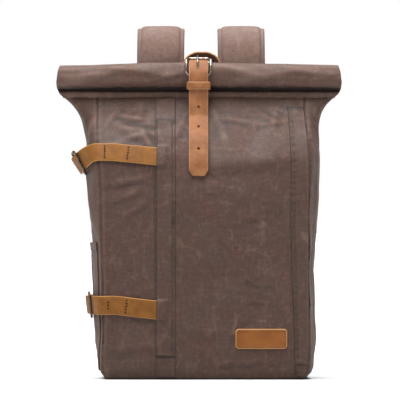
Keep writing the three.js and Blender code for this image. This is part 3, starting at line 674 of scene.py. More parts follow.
Finish = WaxedCanvas | TannedLeather | PlatedMetal | Thread
CANVAS = WaxedCanvas("waxed_canvas")
# A paler copy of the canvas for the roll: painted light for the light from above on its top, with a darker
# hollow colour for the painted shadow under it.
LIT_ROLL_CANVAS = WaxedCanvas(
    "waxed_canvas_roll_lit", base="#513c34", patch="#563b30", rubbed="#7d665b", hollow="#100b09"
)
TRIM_CANVAS = WaxedCanvas("waxed_canvas_trim", patch="#462d24", rubbed="#705a4e")
PALE_CANVAS = WaxedCanvas("waxed_canvas_binding", base="#57433c", patch="#5b4036", rubbed="#7d675d")
# A paler copy of the canvas for the shoulder pads: painted light for the light from above on their tops.
LIT_PAD_CANVAS = WaxedCanvas("waxed_canvas_pad_lit", "#69524a", "#6c4f44", "#86705f", "#4a3730")
LEATHER = TannedLeather("tanned_leather")
LABEL_LEATHER = TannedLeather("tanned_leather_label", "#8a5527", "#6b3d17", "#9c672f", "#b08350")
CLOSURE_LEATHER = TannedLeather(
    "tanned_leather_closure", "#845636", "#5e3820", "#946645", "#aa7f5b", roughness=0.56
)
WEBBING = WaxedCanvas(
    "woven_webbing", base="#3b2d27", patch="#3f2f27", rubbed="#5a483f", shade="#2a1f1a", thread=1.005 * MM
)
NICKEL = PlatedMetal("nickel")
AGED_METAL = PlatedMetal("aged_metal", base="#62513f", dull="#33281f", roughness=0.4)
THREAD = Thread("sewing_thread")


# The bag's surfaces


class Side(Enum):
    """The bag's two sides."""

    LEFT = -1
    RIGHT = 1


class Wall(Enum):
    """Which wall a fold lies on, with the outward direction of that wall."""

    FRONT = (0.0, -1.0, 0.0)
    LEFT = (-1.0, 0.0, 0.0)
    RIGHT = (1.0, 0.0, 0.0)


@dataclass(frozen=True)
class Fold:
    """A soft crease: a ridge with a hollow under it. Its place is x (or y on a side wall) and z, in metres."""

    wall: Wall
    across: float
    height: float
    angle: float
    length: float
    width: float
    depth: float


def fold_relief(fold: Fold, points: Array, normals: Array) -> Array:
    """How far one fold pushes points out.

    The ridge is a bell curve across the fold's line, with a hollow about half as high beside it, and both
    fade out with the fourth power of the distance along the line.

    Args:
        fold: the fold.
        points: the points.
        normals: their outward normals.

    Returns:
        The push per point.
    """
    lateral = points[..., 0] if fold.wall is Wall.FRONT else points[..., 1]
    a, z = lateral - fold.across, points[..., 2] - fold.height
    turn = math.radians(fold.angle)
    along = a * math.cos(turn) + z * math.sin(turn)
    off = -a * math.sin(turn) + z * math.cos(turn)
    fade = np.exp(-((along / (fold.length / 2)) ** 4))
    facing = np.clip((np.sum(normals * np.array(fold.wall.value), axis=-1) - 0.25) / 0.4, 0, 1)
    shape = bump(off, fold.width) - 0.55 * bump(off + 1.7 * fold.width, fold.width)
    return fold.depth * shape * fade * facing


class Ripple:
    """Unevenness of hand-worked cloth: waves in random directions, long ones high and short ones low."""

    def __init__(self, seed: int, bands: Sequence[tuple[float, float]], count: int = 7) -> None:
        """Draws the waves of each band, given as wavelength and height in metres, from the seed.

        Args:
            seed: where the draw starts.
            bands: wavelength and height of each band, in metres.
            count: waves to a band.
        """
        draw = np.random.default_rng(seed)
        total = count * len(bands)
        self.ways = unit(draw.normal(size=(total, 3)))
        self.phases = draw.uniform(0, 2 * math.pi, total)
        self.lengths = np.repeat([b[0] for b in bands], count) * draw.uniform(0.75, 1.3, total)
        self.heights = np.repeat([b[1] for b in bands], count) / math.sqrt(count / 2)

    def at(self, points: Array) -> Array:
        """The sum of the waves at each point.

        Args:
            points: the points.

        Returns:
            The height per point.
        """
        total = np.zeros(points.shape[:-1])
        for way, phase, length, height in zip(self.ways, self.phases, self.lengths, self.heights, strict=True):
            total += height * np.sin(2 * math.pi * (points @ way) / length + phase)
        return total


@dataclass(frozen=True)
class BagShape:
    """The standing bag's walls from the floor to the neck."""

    width: float = 0.300
    depth: float = 0.120
    neck: float = 0.389
    bulge: float = 0.03
    lowest: float = 0.009
    rows: Profile = field(
        default_factory=lambda: Profile(
            "height left right seam_left seam_right front back fold",
            [
                (0.009, 0.440, 0.500, 0.430, 0.487, 0.470, 0.478, 0),
                (0.026, 0.457, 0.517, 0.440, 0.496, 0.492, 0.494, 0),
                (0.069, 0.463, 0.522, 0.443, 0.503, 0.505, 0.500, 0),
                (0.154, 0.471, 0.527, 0.442, 0.506, 0.517, 0.500, 0),
                (0.347, 0.485, 0.531, 0.445, 0.506, 0.530, 0.500, 0),
                (0.478, 0.490, 0.535, 0.447, 0.506, 0.530, 0.500, 0),
                (0.530, 0.498, 0.542, 0.447, 0.506, 0.528, 0.500, 0),
                (0.668, 0.512, 0.544, 0.450, 0.507, 0.516, 0.500, 0),
                (0.771, 0.520, 0.547, 0.458, 0.506, 0.468, 0.488, 0.03),
                (0.841, 0.526, 0.549, 0.466, 0.501, 0.362, 0.440, 0.12),
                (0.882, 0.535, 0.552, 0.468, 0.495, 0.278, 0.390, 0.30),
                (0.925, 0.549, 0.563, 0.468, 0.490, 0.176, 0.305, 0.55),
                (0.969, 0.584, 0.588, 0.468, 0.487, 0.058, 0.188, 0.86),
                (1.000, 0.627, 0.628, 0.468, 0.487, -0.025, 0.108, 1),
            ],
        )
    )

    def seam(self, side: Side, h: Array) -> Array:
        """X of the front seam at a share of the neck's height."""
        name = "seam_left" if side is Side.LEFT else "seam_right"
        return side.value * self.width * self.rows.at(name, h)

    def outline(self, side: Side, h: Array) -> Array:
        """X of the side's outermost line."""
        return side.value * self.width * self.rows.at("left" if side is Side.LEFT else "right", h)

    def front_plane(self, h: Array) -> Array:
        """Y of the front seams."""
        return -self.depth * self.rows.at("front", h)

    def back_plane(self, h: Array) -> Array:
        """Y of the back panel's outer face."""
        return self.depth * self.rows.at("back", h)

    def front(self, x: Array, z: Array) -> Array:
        """Outer points of the front: the seams' plane pushed forward by a parabola between the seams.

        Args:
            x: places across.
            z: heights.

        Returns:
            The points.
        """
        h = np.asarray(z, float) / self.neck
        left, right = self.seam(Side.LEFT, h), self.seam(Side.RIGHT, h)
        across = (2 * x - left - right) / (right - left)
        swell = self.bulge * self.depth * (1 - self.rows.at("fold", h)) * np.maximum(1 - across**2, 0)
        x, y, z = np.broadcast_arrays(x, self.front_plane(h) - swell, z)
        return np.stack([x, y, z], axis=-1)

    def gusset(self, side: Side, w: Array, h: Array) -> Array:
        """Outer points of a side wall, w from 0 at the front seam to 1 at the back seam.

        Low down the wall bulges as the 0.75th power of a sine; towards the neck it is pressed into a flat fold
        that points outward.

        Args:
            side: which wall.
            w: places across the wall.
            h: heights, up the neck.

        Returns:
            The points.
        """
        w, h = np.broadcast_arrays(np.asarray(w, float), np.asarray(h, float))
        seam = self.seam(side, h)
        out = self.outline(side, h) - seam
        fold = self.rows.at("fold", h)
        to_middle = 1 - np.abs(2 * w - 1)
        bulging = np.sin(math.pi * np.clip(w, 0, 1)) ** 0.75
        flat_depth = 0.5 + np.sign(w - 0.5) * 0.5 * np.minimum(((1 - to_middle) / 0.28) ** 0.6, 1)
        reach = mix(bulging, to_middle, fold)
        depth = mix(w, flat_depth, fold**2)
        swell = fold * 0.02 * out * np.sqrt(np.maximum(1 - (1 - to_middle) ** 2, 0))
        y = mix(self.front_plane(h), self.back_plane(h), depth)
        return np.stack([seam + out * reach + swell, y, h * self.neck], axis=-1)


BAG = BagShape()
CLOTH_RIPPLE = Ripple(SEED, [(0.150, 1.1 * MM), (0.062, 0.55 * MM), (0.026, 0.16 * MM)])
# Place across, height, angle in degrees, length, width and depth of each fold, by wall.
FOLD_ROWS = {
    Wall.FRONT: (
        # Under the upper side strap the cloth is drawn down in slanting creases.
        (-0.098, 0.274, 9, 0.060, 5 * MM, 1.1 * MM),
        (-0.105, 0.252, 20, 0.050, 5 * MM, 0.8 * MM),
        (-0.088, 0.236, 34, 0.040, 5 * MM, 0.6 * MM),
        # Creases between the neck and the strap on the left.
        (-0.092, 0.338, -28, 0.055, 6 * MM, 1.2 * MM),
        (-0.112, 0.322, 12, 0.050, 5 * MM, 1.0 * MM),
        (-0.120, 0.362, 58, 0.040, 5 * MM, 0.9 * MM),
        (-0.082, 0.372, 78, 0.045, 5 * MM, 0.9 * MM),
        # Crumples between the neck, the strap and the band.
        (-0.095, 0.361, -12, 0.035, 3.5 * MM, 1.3 * MM),
        (-0.080, 0.347, -12, 0.045, 3.5 * MM, -1.4 * MM),
        (-0.093, 0.333, 8, 0.040, 4 * MM, 1.2 * MM),
        (-0.066, 0.332, -60, 0.030, 4 * MM, -1.3 * MM),
        # Pleats that fan out from the buckle strap and the neck.
        (-0.026, 0.350, 64, 0.060, 5 * MM, 1.0 * MM),
        (0.028, 0.350, 112, 0.060, 5 * MM, 1.0 * MM),
        (0.062, 0.356, -6, 0.060, 3.5 * MM, 1.0 * MM),
        (0.100, 0.352, 8, 0.055, 3.5 * MM, 0.9 * MM),
        (0.104, 0.362, 78, 0.045, 5 * MM, 0.8 * MM),
        # Where the sloping shoulder turns into the upright front.
        (0.060, 0.298, 4, 0.120, 9 * MM, 1.6 * MM),
        (0.030, 0.262, -14, 0.090, 9 * MM, 0.8 * MM),
        (0.085, 0.232, 22, 0.085, 8 * MM, 0.8 * MM),
        # Low sags over the base.
        (0.018, 0.068, -8, 0.110, 9 * MM, 0.9 * MM),
        (-0.095, 0.046, 10, 0.070, 8 * MM, 1.0 * MM),
        (0.062, 0.026, 3, 0.100, 7 * MM, 0.9 * MM),
        (-0.090, 0.140, 74, 0.110, 9 * MM, 0.7 * MM),
        (0.118, 0.180, 84, 0.150, 8 * MM, 0.7 * MM),
    ),
    Wall.LEFT: (
        # Folds of the left side wall, pressed by its straps.
        (-0.020, 0.262, 62, 0.090, 7 * MM, 2.2 * MM),
        (0.018, 0.225, -58, 0.090, 8 * MM, 1.6 * MM),
        (-0.024, 0.350, 80, 0.070, 6 * MM, 1.6 * MM),
        (0.010, 0.180, 78, 0.110, 9 * MM, 1.4 * MM),
        (-0.004, 0.052, 12, 0.070, 7 * MM, 1.2 * MM),
    ),
    Wall.RIGHT: (
        # Upright folds of the right side wall.
        (-0.034, 0.215, 88, 0.230, 6 * MM, 2.0 * MM),
        (0.004, 0.260, 84, 0.170, 8 * MM, 2.0 * MM),
        (-0.016, 0.110, 96, 0.150, 7 * MM, 1.6 * MM),
        (0.026, 0.150, 60, 0.110, 9 * MM, 1.4 * MM),
        (-0.010, 0.345, 76, 0.080, 6 * MM, 1.6 * MM),
    ),
}
FOLDS = tuple(Fold(wall, *row) for wall, rows in FOLD_ROWS.items() for row in rows)


def small_creases(count: int = 34) -> tuple[Fold, ...]:
    """Short sharp creases scattered over the front, most of them on the slope under the neck.

    Args:
        count: how many.

    Returns:
        The creases.
    """
    draw = np.random.default_rng(SEED + 3)
    share = draw.uniform(0, 1, count) ** 1.8
    rows = zip(
        draw.uniform(-0.125, 0.125, count), 0.376 - 0.32 * share, draw.uniform(-35, 35, count),
        draw.uniform(0.018, 0.048, count), draw.uniform(2.6, 4.2, count) * MM,
        draw.choice([-1, 1], count) * draw.uniform(0.3, 0.75, count) * (1 - 0.4 * share) * MM,
    )
    return tuple(Fold(Wall.FRONT, *map(float, row)) for row in rows)


CREASES = small_creases()


def cloth_relief(points: Array, normals: Array) -> Array:
    """How far the cloth's folds and ripples push points out along their normals.

    Args:
        points: smooth points of the walls.
        normals: their outward normals.

    Returns:
        The push per point.
    """
    total = CLOTH_RIPPLE.at(points)
    # The cloth lies flat under the buckle strap.
    beside = np.exp(-((points[..., 0] / (17 * MM)) ** 4))
    facing = np.clip(-normals[..., 1] * 2, 0, 1)
    total = total * (1 - 0.85 * beside * ease((points[..., 2] - 0.26) / 0.02) * facing)
    for fold in FOLDS + CREASES:
        total = total + fold_relief(fold, points, normals)
    low = ease(points[..., 2] / 0.02)
    high = ease((BAG.neck - points[..., 2]) / 0.03)
    return total * np.minimum(low, 0.35 + 0.65 * high)


def front_frame(x: Array, z: Array) -> tuple[Array, Array]:
    """Points and outward normals of the front wall, relief included.

    Args:
        x: places across.
        z: heights.

    Returns:
        The points and the normals.
    """
    step = 1 * MM
    base = BAG.front(x, z)
    slope_x = (BAG.front(x + step, z)[..., 1] - BAG.front(x - step, z)[..., 1]) / (2 * step)
    slope_z = (BAG.front(x, z + step)[..., 1] - BAG.front(x, z - step)[..., 1]) / (2 * step)
    normals = unit(np.stack([slope_x, -np.ones_like(slope_x), slope_z], axis=-1))
    return base + normals * cloth_relief(base, normals)[..., None], normals


def bend(relief: Array, points: Array) -> Array:
    """How sharply a relief bends, in 1/m: minus its second differences along rows and columns.

    Ridges are positive.

    Args:
        relief: the push per point, in rows and columns.
        points: the points.

    Returns:
        The bend per point.
    """
    total = np.zeros_like(relief)
    for axis in (0, 1):
        step = np.linalg.norm(np.gradient(points, axis=axis), axis=-1)
        total -= np.gradient(np.gradient(relief, axis=axis) / step, axis=axis) / step
    return total


def clustered(count: int, ends: float = 0.5) -> Array:
    """Shares from 0 to 1, closer together at both ends."""
    t = np.linspace(0, 1, count)
    return mix(t, 0.5 - 0.5 * np.cos(math.pi * t), ends)


# Pieces


@dataclass
class Dressing:
    """What every sub-assembly needs: the built materials and the count of pieces."""

    materials: dict[str, bpy.types.Material] = field(default_factory=dict)
    count: int = 0

    def finish(self, obj: bpy.types.Object, finish: Finish, slot: str, *nodes: str) -> None:
        """Gives a piece its finish and body, and hides the solids it stands for.

        Args:
            obj: the piece.
            finish: its finish.
            slot: not used.
            nodes: solids that it stands for.
        """
        if finish.name not in self.materials:
            self.materials[finish.name] = finish.build()
        obj.data.materials.clear()
        obj.data.materials.append(self.materials[finish.name])
        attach(obj, "root")
        if nodes:
            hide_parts(*nodes)
        self.count += 1
        stands = ", ".join(nodes) or "none"
        LOG.info("piece %s: %d faces, stands for %s", obj.name, len(obj.data.polygons), stands)


@dataclass
class StitchRun:
    """A run of stitches: short thread arcs that dip into the cloth at both ends."""

    pitch: float = 4.2 * MM
    length: float = 3.2 * MM
    thread: float = 0.8 * MM
    rise: float = 0.35 * MM
    found: list[tuple[Array, Array, Array]] = field(default_factory=list)

    def along(self, places: Array, normals: Array) -> None:
        """Lays stitches along a line of places with outward normals, one to each pitch of its length.

        Args:
            places: the line's places.
            normals: their outward normals.
        """
        lengths = run_lengths(places)
        count = max(int(lengths[-1] / self.pitch), 1)
        at = (np.arange(count) + 0.5) * lengths[-1] / count

        def read(rows: Array, where: Array) -> Array:
            """Rows between the given ones, at distances along the line."""
            return np.stack([np.interp(where, lengths, rows[:, k]) for k in range(3)], axis=1)

        tangent = unit(read(places, at + self.length / 2) - read(places, at - self.length / 2))
        self.found.append((read(places, at), tangent, square_to(unit(read(normals, at)), tangent)))

    def build(self, name: str) -> bpy.types.Object:
        """Makes all the runs one object.

        A stitch is a tube of five rings whose middle line is a parabola of the rise and whose radius shrinks
        to nothing at both ends.

        Args:
            name: the piece's name.

        Returns:
            The object.
        """
        place, tangent, normal = (np.concatenate(part) for part in zip(*self.found, strict=True))
        side = np.cross(tangent, normal)
        t = np.linspace(-1, 1, 5)
        turn = np.linspace(0, 2 * math.pi, 5, endpoint=False)
        radius = self.thread / 2 * np.sqrt(np.maximum(1 - t**2, 0.12))
        lift = self.rise * (1 - t**2) - 0.1 * MM
        along = np.broadcast_to((t * self.length / 2)[:, None], (5, 5))
        up = lift[:, None] + radius[:, None] * np.cos(turn)
        out = radius[:, None] * np.sin(turn)
        points = place[:, None, None, :] + sum(
            amount[None, :, :, None] * axis[:, None, None, :]
            for amount, axis in ((along, tangent), (up, normal), (out, side))
        )
        stitches, rings, sides = points.shape[:3]
        k = np.arange(rings - 1)[:, None] * sides
        j = np.arange(sides)[None, :]
        cell = np.stack([k + j, k + (j + 1) % sides, k + sides + (j + 1) % sides, k + sides + j], axis=-1)
        faces = (np.arange(stitches)[:, None, None] * rings * sides + cell.reshape(1, -1, 4)).reshape(-1, 4)
        flat = points.reshape(-1, 3)
        centres = np.repeat(place, cell.shape[0] * cell.shape[1], axis=0)
        faces = facing_out(flat, faces, centres)
        return mesh_object(name, flat, faces, flat[:, [0, 2]])


@dataclass
class Shell:
    """The bag's front and side walls as one lofted sheet that sags, with its seams drawn in.

    The sheet runs from the left back seam round the front to the right back seam.
    """

    rows: int = 165
    side_columns: int = 50
    front_columns: int = 132
    wall: float = 2 * MM
    seam_depth: float = 0.9 * MM
    pucker: float = 0.3 * MM
    under_rows: int = 6
    turned_in: tuple[float, float, float] = (0.024, 0.06, 0)

    def heights(self) -> Array:
        """Shares of the neck's height, closer together at the base and the neck."""
        return BAG.lowest + (1 - BAG.lowest) * clustered(self.rows, 0.45)

    def base_grid(self) -> tuple[Array, Array, Array]:
        """The smooth sheet: points, and the column numbers of both front seams.

        Returns:
            The points, and the column numbers of both front seams.
        """
        h = self.heights()[:, None]
        w = clustered(self.side_columns, 0.8)
        u = clustered(self.front_columns, 0.75)[None, 1:-1]
        left = BAG.gusset(Side.LEFT, w[::-1][None, :], h)
        right = BAG.gusset(Side.RIGHT, w[None, :], h)
        x = mix(BAG.seam(Side.LEFT, h), BAG.seam(Side.RIGHT, h), u)
        front = BAG.front(x, np.broadcast_to(h * BAG.neck, x.shape))
        points = np.concatenate([left, front, right], axis=1)
        return points, self.side_columns - 1, self.side_columns - 1 + self.front_columns - 1

    def build(self, dressing: Dressing) -> None:
        """Makes the sheet.

        Folds and ripples push it out; at each front seam it dips by a bell curve, swells on both sides of it
        and puckers along it with the stitches. Under its lowest row it turns in by a quarter ellipse, whose
        reach is a share of the distance from the middle.

        Args:
            dressing: takes the piece.
        """
        base, first, second = self.base_grid()
        normals = Grid(base, base[..., :2]).normals()
        normals *= np.sign(np.sum(normals[..., :2] * base[..., :2]))
        relief = cloth_relief(base, normals)
        sharp = bend(relief, base)
        wear = 0.5 * np.clip((sharp - 20) / 80, 0, 1)
        # Painted shade in the hollows of the folds.
        deep = 0.6 * np.clip((-sharp - 12) / 60, 0, 1)
        steps = np.linalg.norm(np.diff(base, axis=1), axis=2)
        along = np.pad(np.cumsum(steps, axis=1), ((0, 0), (1, 0)))
        z = base[..., 2]
        for column in (first, second):
            off = along - along[:, column : column + 1]
            dip = -self.seam_depth * bump(off, 1.6 * MM) + 0.35 * MM * bump(np.abs(off) - 5 * MM, 3 * MM)
            drawn = np.sin(2 * math.pi * z / (11 * MM) + 3 * np.sin(z * 60))
            dip = dip + self.pucker * drawn * bump(off, 9 * MM)
            relief = relief + dip
            # Painted shade in each seam's dip.
            deep = np.maximum(deep, 0.5 * bump(off, 1.0 * MM))
            beside = 0.25 * bump(np.abs(off) - 4 * MM, 2 * MM)
            wear = np.maximum(wear, beside * (0.5 + 0.5 * np.sin(z * 410) ** 2))
        ends = np.minimum(along, along[:, -1:] - along)
        relief = relief - 1.0 * MM * bump(ends, 2.5 * MM)
        points = base + normals * relief[..., None]
        turn = np.linspace(0, 1, self.under_rows + 1)[1:] * math.pi / 2
        lowest = points[0]
        under = lowest[None] * (1 - (1 - np.cos(turn))[:, None, None] * np.array(self.turned_in))
        under[..., 2] = lowest[None, :, 2] * (1 - 0.86 * np.sin(turn))[:, None]
        points = np.concatenate([under[::-1], points])
        # Painted shade under the turned-in base.
        deep = np.pad(deep, ((self.under_rows, 0), (0, 0)), constant_values=0.6)
        wear = np.pad(wear, ((self.under_rows, 0), (0, 0)))
        grid = Grid(points, flat_lengths(points), {"wear": wear, "deep": deep})
        obj = sheet_object("bag_shell", grid, np.array([0.0, 0.0, 0.2]), self.wall)
        dressing.finish(obj, CANVAS, "front_panel", "front_panel", "left_gusset", "right_gusset")


@dataclass
class BackPanel:
    """The padded back: foam between two cloths, sewn through in a border and two level lines."""

    rows: int = 120
    columns: int = 90
    puff: float = 2.2 * MM
    border: float = 20 * MM
    lines: tuple[float, ...] = (0.115, 0.225)

    def build(self, dressing: Dressing, stitches: StitchRun) -> None:
        """Makes the panel: each field between the sewn lines swells by the root of its distance from them.

        Args:
            dressing: takes the piece.
            stitches: takes its stitch lines.
        """
        h = BAG.lowest + (1 - BAG.lowest) * clustered(self.rows, 0.3)[:, None]
        u = clustered(self.columns, 0.5)[None, :]
        x = mix(BAG.seam(Side.LEFT, h), BAG.seam(Side.RIGHT, h), u)
        z = np.broadcast_to(h * BAG.neck, x.shape)
        y = np.broadcast_to(BAG.back_plane(h), x.shape)
        inside = np.minimum(x - BAG.seam(Side.LEFT, h), BAG.seam(Side.RIGHT, h) - x) - self.border
        field_height = np.minimum(z - 0.030, 0.330 - z)
        to_line = np.min([np.abs(z - level) for level in self.lines], axis=0)
        clear = np.clip(np.minimum(np.minimum(inside, field_height), to_line) / (14 * MM), 0, 1)
        relief = self.puff * np.sqrt(clear) - 0.8 * MM * bump(np.minimum(np.abs(inside), 1.0), 1.4 * MM)
        y = y + relief + 0.25 * CLOTH_RIPPLE.at(np.stack([x, y, z], axis=-1))
        points = np.stack([x, y, z], axis=-1)
        # Painted shade along the sewn border and lines.
        deep = bump(np.minimum(np.abs(inside), to_line), 1.6 * MM) * (field_height > -2 * MM)
        grid = Grid(points, flat_lengths(points), {"deep": deep, "wear": 0.3 * clear})
        obj = sheet_object("back_padding", grid, np.array([0.0, 0.0, 0.2]), 5 * MM)
        dressing.finish(obj, CANVAS, "back_panel", "back_panel")
        for level in self.lines:
            run = np.linspace(-0.112, 0.122, 200)
            place = np.stack([run, np.full(200, BAG.depth / 2 + 0.3 * MM), np.full(200, level)], axis=1)
            stitches.along(place, np.tile([0.0, 1.0, 0.0], (200, 1)))


@dataclass
class BasePanel:
    """The base: a stiff board covered in the same cloth, its rim turned under."""

    def build(self, dressing: Dressing) -> None:
        """Makes the base as rings from the rim inward, each ring a smaller copy of the walls' lowest row.

        Args:
            dressing: takes the piece.
        """
        w = clustered(40, 0.6)
        h = np.full_like(w, BAG.lowest)
        right, left = BAG.gusset(Side.RIGHT, w, h), BAG.gusset(Side.LEFT, w[::-1], h)
        loop = np.concatenate([right, left, right[:1]])
        middle = (loop.min(axis=0) + loop.max(axis=0)) / 2
        share = np.array([0.2, 0.6, 0.9, 0.975, 0.985, 0.985, 0.975, 0.9, 0.3])
        level = np.array([0.2, 0.1, 0.05, 0.1, 0.8, 2.4, 3.0, 3.1, 3.1]) * MM
        points = middle + (loop - middle)[None] * share[:, None, None]
        points[..., 2] = level[:, None]
        grid = Grid(points, flat_lengths(points))
        obj = sheet_object("bag_base", grid, np.array([0.0, 0.0, 0.0015]))
        dressing.finish(obj, CANVAS, "base_panel", "base_panel")


@dataclass
class RolledTop:
    """The neck's double cloth, wound forward and down over itself."""

    top: float = 0.4365
    bottom: float = 0.402
    half_width: float = 0.198
    depth: float = 0.030
    cloth: float = 4 * MM
    pitch: float = 4.5 * MM
    turns: float = 2.25
    sag: float = 4 * MM
    columns: int = 150
    neck_steps: int = 26
    wound_steps: int = 150
    shaded: tuple[float, float] = (0.3955, 0.4050)
    dents: tuple[Fold, ...] = (
        Fold(Wall.FRONT, -0.085, 0.425, -8, 0.100, 5 * MM, 1.5 * MM),
        Fold(Wall.FRONT, -0.040, 0.418, 15, 0.060, 4 * MM, 1.3 * MM),
        Fold(Wall.FRONT, -0.142, 0.419, 11, 0.070, 5 * MM, 1.1 * MM),
        Fold(Wall.FRONT, -0.174, 0.412, -20, 0.040, 4 * MM, 0.9 * MM),
        Fold(Wall.FRONT, 0.052, 0.425, -12, 0.055, 4.5 * MM, 1.4 * MM),
        Fold(Wall.FRONT, 0.088, 0.417, 9, 0.080, 5 * MM, 1.3 * MM),
        Fold(Wall.FRONT, 0.142, 0.426, -10, 0.070, 5 * MM, 1.1 * MM),
        Fold(Wall.FRONT, 0.168, 0.413, 22, 0.045, 4 * MM, 1.0 * MM),
    )
    sides: Profile = field(
        default_factory=lambda: Profile(
            "height half", [(0, 0.950), (0.13, 0.975), (0.40, 1), (0.75, 0.990), (1, 0.972)]
        )
    )

    def __post_init__(self) -> None:
        """Works out the winding's middle and half sizes."""
        self.neck_y = float(BAG.front_plane(np.array(1.0)) + BAG.back_plane(np.array(1.0))) / 2
        self.semi_depth = self.depth / 2 - self.cloth / 2
        self.middle_y = self.neck_y + 3 * MM - self.semi_depth
        self.middle_z = (self.top + self.bottom - self.pitch / 2) / 2
        self.semi_height = self.top - self.cloth / 2 + self.pitch / 4 - self.middle_z

    def winding(self, degrees: Array, off: float = 0.0) -> Array:
        """Depth and height on the winding at turn angles, from the back over the top; off moves it outward.

        Args:
            degrees: turn angles.
            off: how far outside the middle line.

        Returns:
            Depths and heights.
        """
        turn = np.radians(degrees)
        shrink = self.pitch * np.asarray(degrees) / 360
        return np.stack(
            [
                self.middle_y + (self.semi_depth - shrink + off) * np.cos(turn),
                self.middle_z + (self.semi_height - shrink + off) * np.sin(turn),
            ],
            axis=-1,
        )

    def section(self) -> tuple[Array, Array]:
        """The middle line of the cloth in depth and height, and its thickness along it.

        Returns:
            The line's points and the thickness at each.
        """
        rise = self.middle_z - BAG.neck
        neck_thickness = float(BAG.back_plane(np.array(1.0)) - BAG.front_plane(np.array(1.0)))
        rows = Profile(
            "up shift thickness",
            [
                (-0.03, 0, neck_thickness + 0.6 * MM),
                (0.06, -0.10, neck_thickness + 2.0 * MM),
                (0.15, -0.26, neck_thickness + 2.6 * MM),
                (0.21, -0.18, neck_thickness + 1.4 * MM),
                (0.27, 0.05, neck_thickness * 0.62),
                (0.45, 0.35, self.cloth + 0.6 * MM),
                (0.7, 0.8, self.cloth),
            ],
        )
        up = np.linspace(-0.03, 0.7, self.neck_steps)
        neck = np.stack([self.neck_y + 3 * MM * rows.at("shift", up), BAG.neck + rise * up], axis=-1)
        wound = self.winding(np.linspace(0, self.turns * 360, self.wound_steps))
        thickness = np.concatenate([rows.at("thickness", up), np.full(self.wound_steps, self.cloth)])
        return np.concatenate([neck, wound]), thickness

    def relief(self, points: Array, rise: Array, along: Array) -> Array:
        """How far the roll's cloth is pushed out of its winding.

        Broad waves are drawn out along the roll. Level wrinkles grow towards both ends, where the cloth is
        pulled most. Dents press the front of the outermost turn, and small tucks run side by side up the neck.

        Args:
            points: the roll's points, one section a row.
            rise: their height, from 0 at the neck to 1 at the top.
            along: their place along the roll, from -1 to 1.

        Returns:
            The push per point.
        """
        x, y, z = np.moveaxis(points, -1, 0)
        ripple = Ripple(SEED + 1, [(0.120, 0.5 * MM), (0.040, 0.28 * MM)])
        total = ripple.at(points * np.array([0.55, 1.6, 1.6]))
        pull = 0.35 + 0.65 * np.abs(along) ** 1.5
        wrinkle = np.sin(2 * math.pi * (z + 0.035 * np.abs(x)) / (9 * MM) + 5 * np.sin(11 * x))
        total = total + 0.17 * MM * wrinkle * pull
        outermost = np.arange(points.shape[1]) < self.neck_steps + self.wound_steps / self.turns
        front = ((y < self.middle_y) & outermost)[..., None] * np.array(Wall.FRONT.value)
        for dent in self.dents:
            total = total + fold_relief(dent, points, front)
        return total + np.sin(2 * math.pi * x / (23 * MM) + 2.5 * np.sin(17 * x)) * 0.35 * MM * (rise < 0.35)

    def close_ends(self, rows: Array) -> tuple[Array, Array]:
        """Closes both ends of the roll with a groove between the two layers of cloth, drawn in by 1.6 mm.

        Args:
            rows: the roll's points, one closed section a row.

        Returns:
            All the points, the grooves' ones last, and the ends' faces.
        """
        count = (rows.shape[1] - 1) // 2
        step = np.arange(count - 1)
        middle = np.array([0.0, self.middle_y, self.middle_z])
        points, faces = rows.reshape(-1, 3), []
        for end, row in ((-1, 0), (1, self.columns - 1)):
            outer, inner = rows[row, :count], rows[row, count : 2 * count][::-1]
            a = row * rows.shape[1] + step
            c = row * rows.shape[1] + 2 * count - 1 - step
            g = len(points) + step
            points = np.concatenate([points, (outer + inner) / 2 - np.array([end * 1.6 * MM, 0, 0])])
            near, far = np.stack([a, a + 1, g + 1, g], axis=1), np.stack([g, g + 1, c - 1, c], axis=1)
            faces.append(facing_out(points, np.concatenate([near, far]), middle))
        return points, np.concatenate(faces)

    def build(self, dressing: Dressing) -> None:
        """Makes the roll.

        The section's two faces lie half the cloth's thickness off its middle line. Across the width the roll
        sags with the square of the distance from the middle, and each turn's end is drawn in a little further
        than the last.

        Args:
            dressing: takes the piece.
        """
        line, thickness = self.section()
        along = unit(np.gradient(line, axis=0))
        off = np.stack([along[:, 1], -along[:, 0]], axis=1) * thickness[:, None] / 2
        loop = np.concatenate([line + off, (line - off)[::-1]])
        count, cells = len(line), 2 * len(line)
        u = np.linspace(-1, 1, self.columns)
        u = mix(u, np.sin(u * math.pi / 2), 0.6)[:, None]
        y, z = (np.broadcast_to(loop[None, :, k], (self.columns, cells)) for k in (0, 1))
        rise = (z - BAG.neck) / (self.top - BAG.neck)
        depth_in = np.concatenate([np.linspace(0, 1, count), np.linspace(1, 0, count)])[None, :]
        half = self.half_width * self.sides.at("half", rise)
        x = u * (half - 2.5 * MM * depth_in + 0.8 * MM * np.sin(9 * depth_in * math.pi))
        z = z - self.sag * u**2 * np.clip(rise, 0, None)
        points = np.stack([x, y, z], axis=-1)
        normal = np.gradient(np.stack([y, z], axis=-1), axis=1)
        normal = unit(np.stack([np.zeros_like(x), normal[..., 1], -normal[..., 0]], axis=-1))
        relief = self.relief(points, rise, u)
        points = points + normal * relief[..., None]
        rows = np.concatenate([points, points[:, :1]], axis=1)
        wear = np.pad(0.35 * np.clip(relief / (1.2 * MM), 0, 1), ((0, 0), (0, 1)), mode="wrap")
        # Painted shadow: a dark band low on the roll and the neck, where the roll's shade falls.
        low, high = self.shaded
        level = rows[..., 2]
        shadow_band = np.clip((high - level) / (4 * MM), 0, 1) * np.clip((level - low) / (2 * MM), 0, 1)
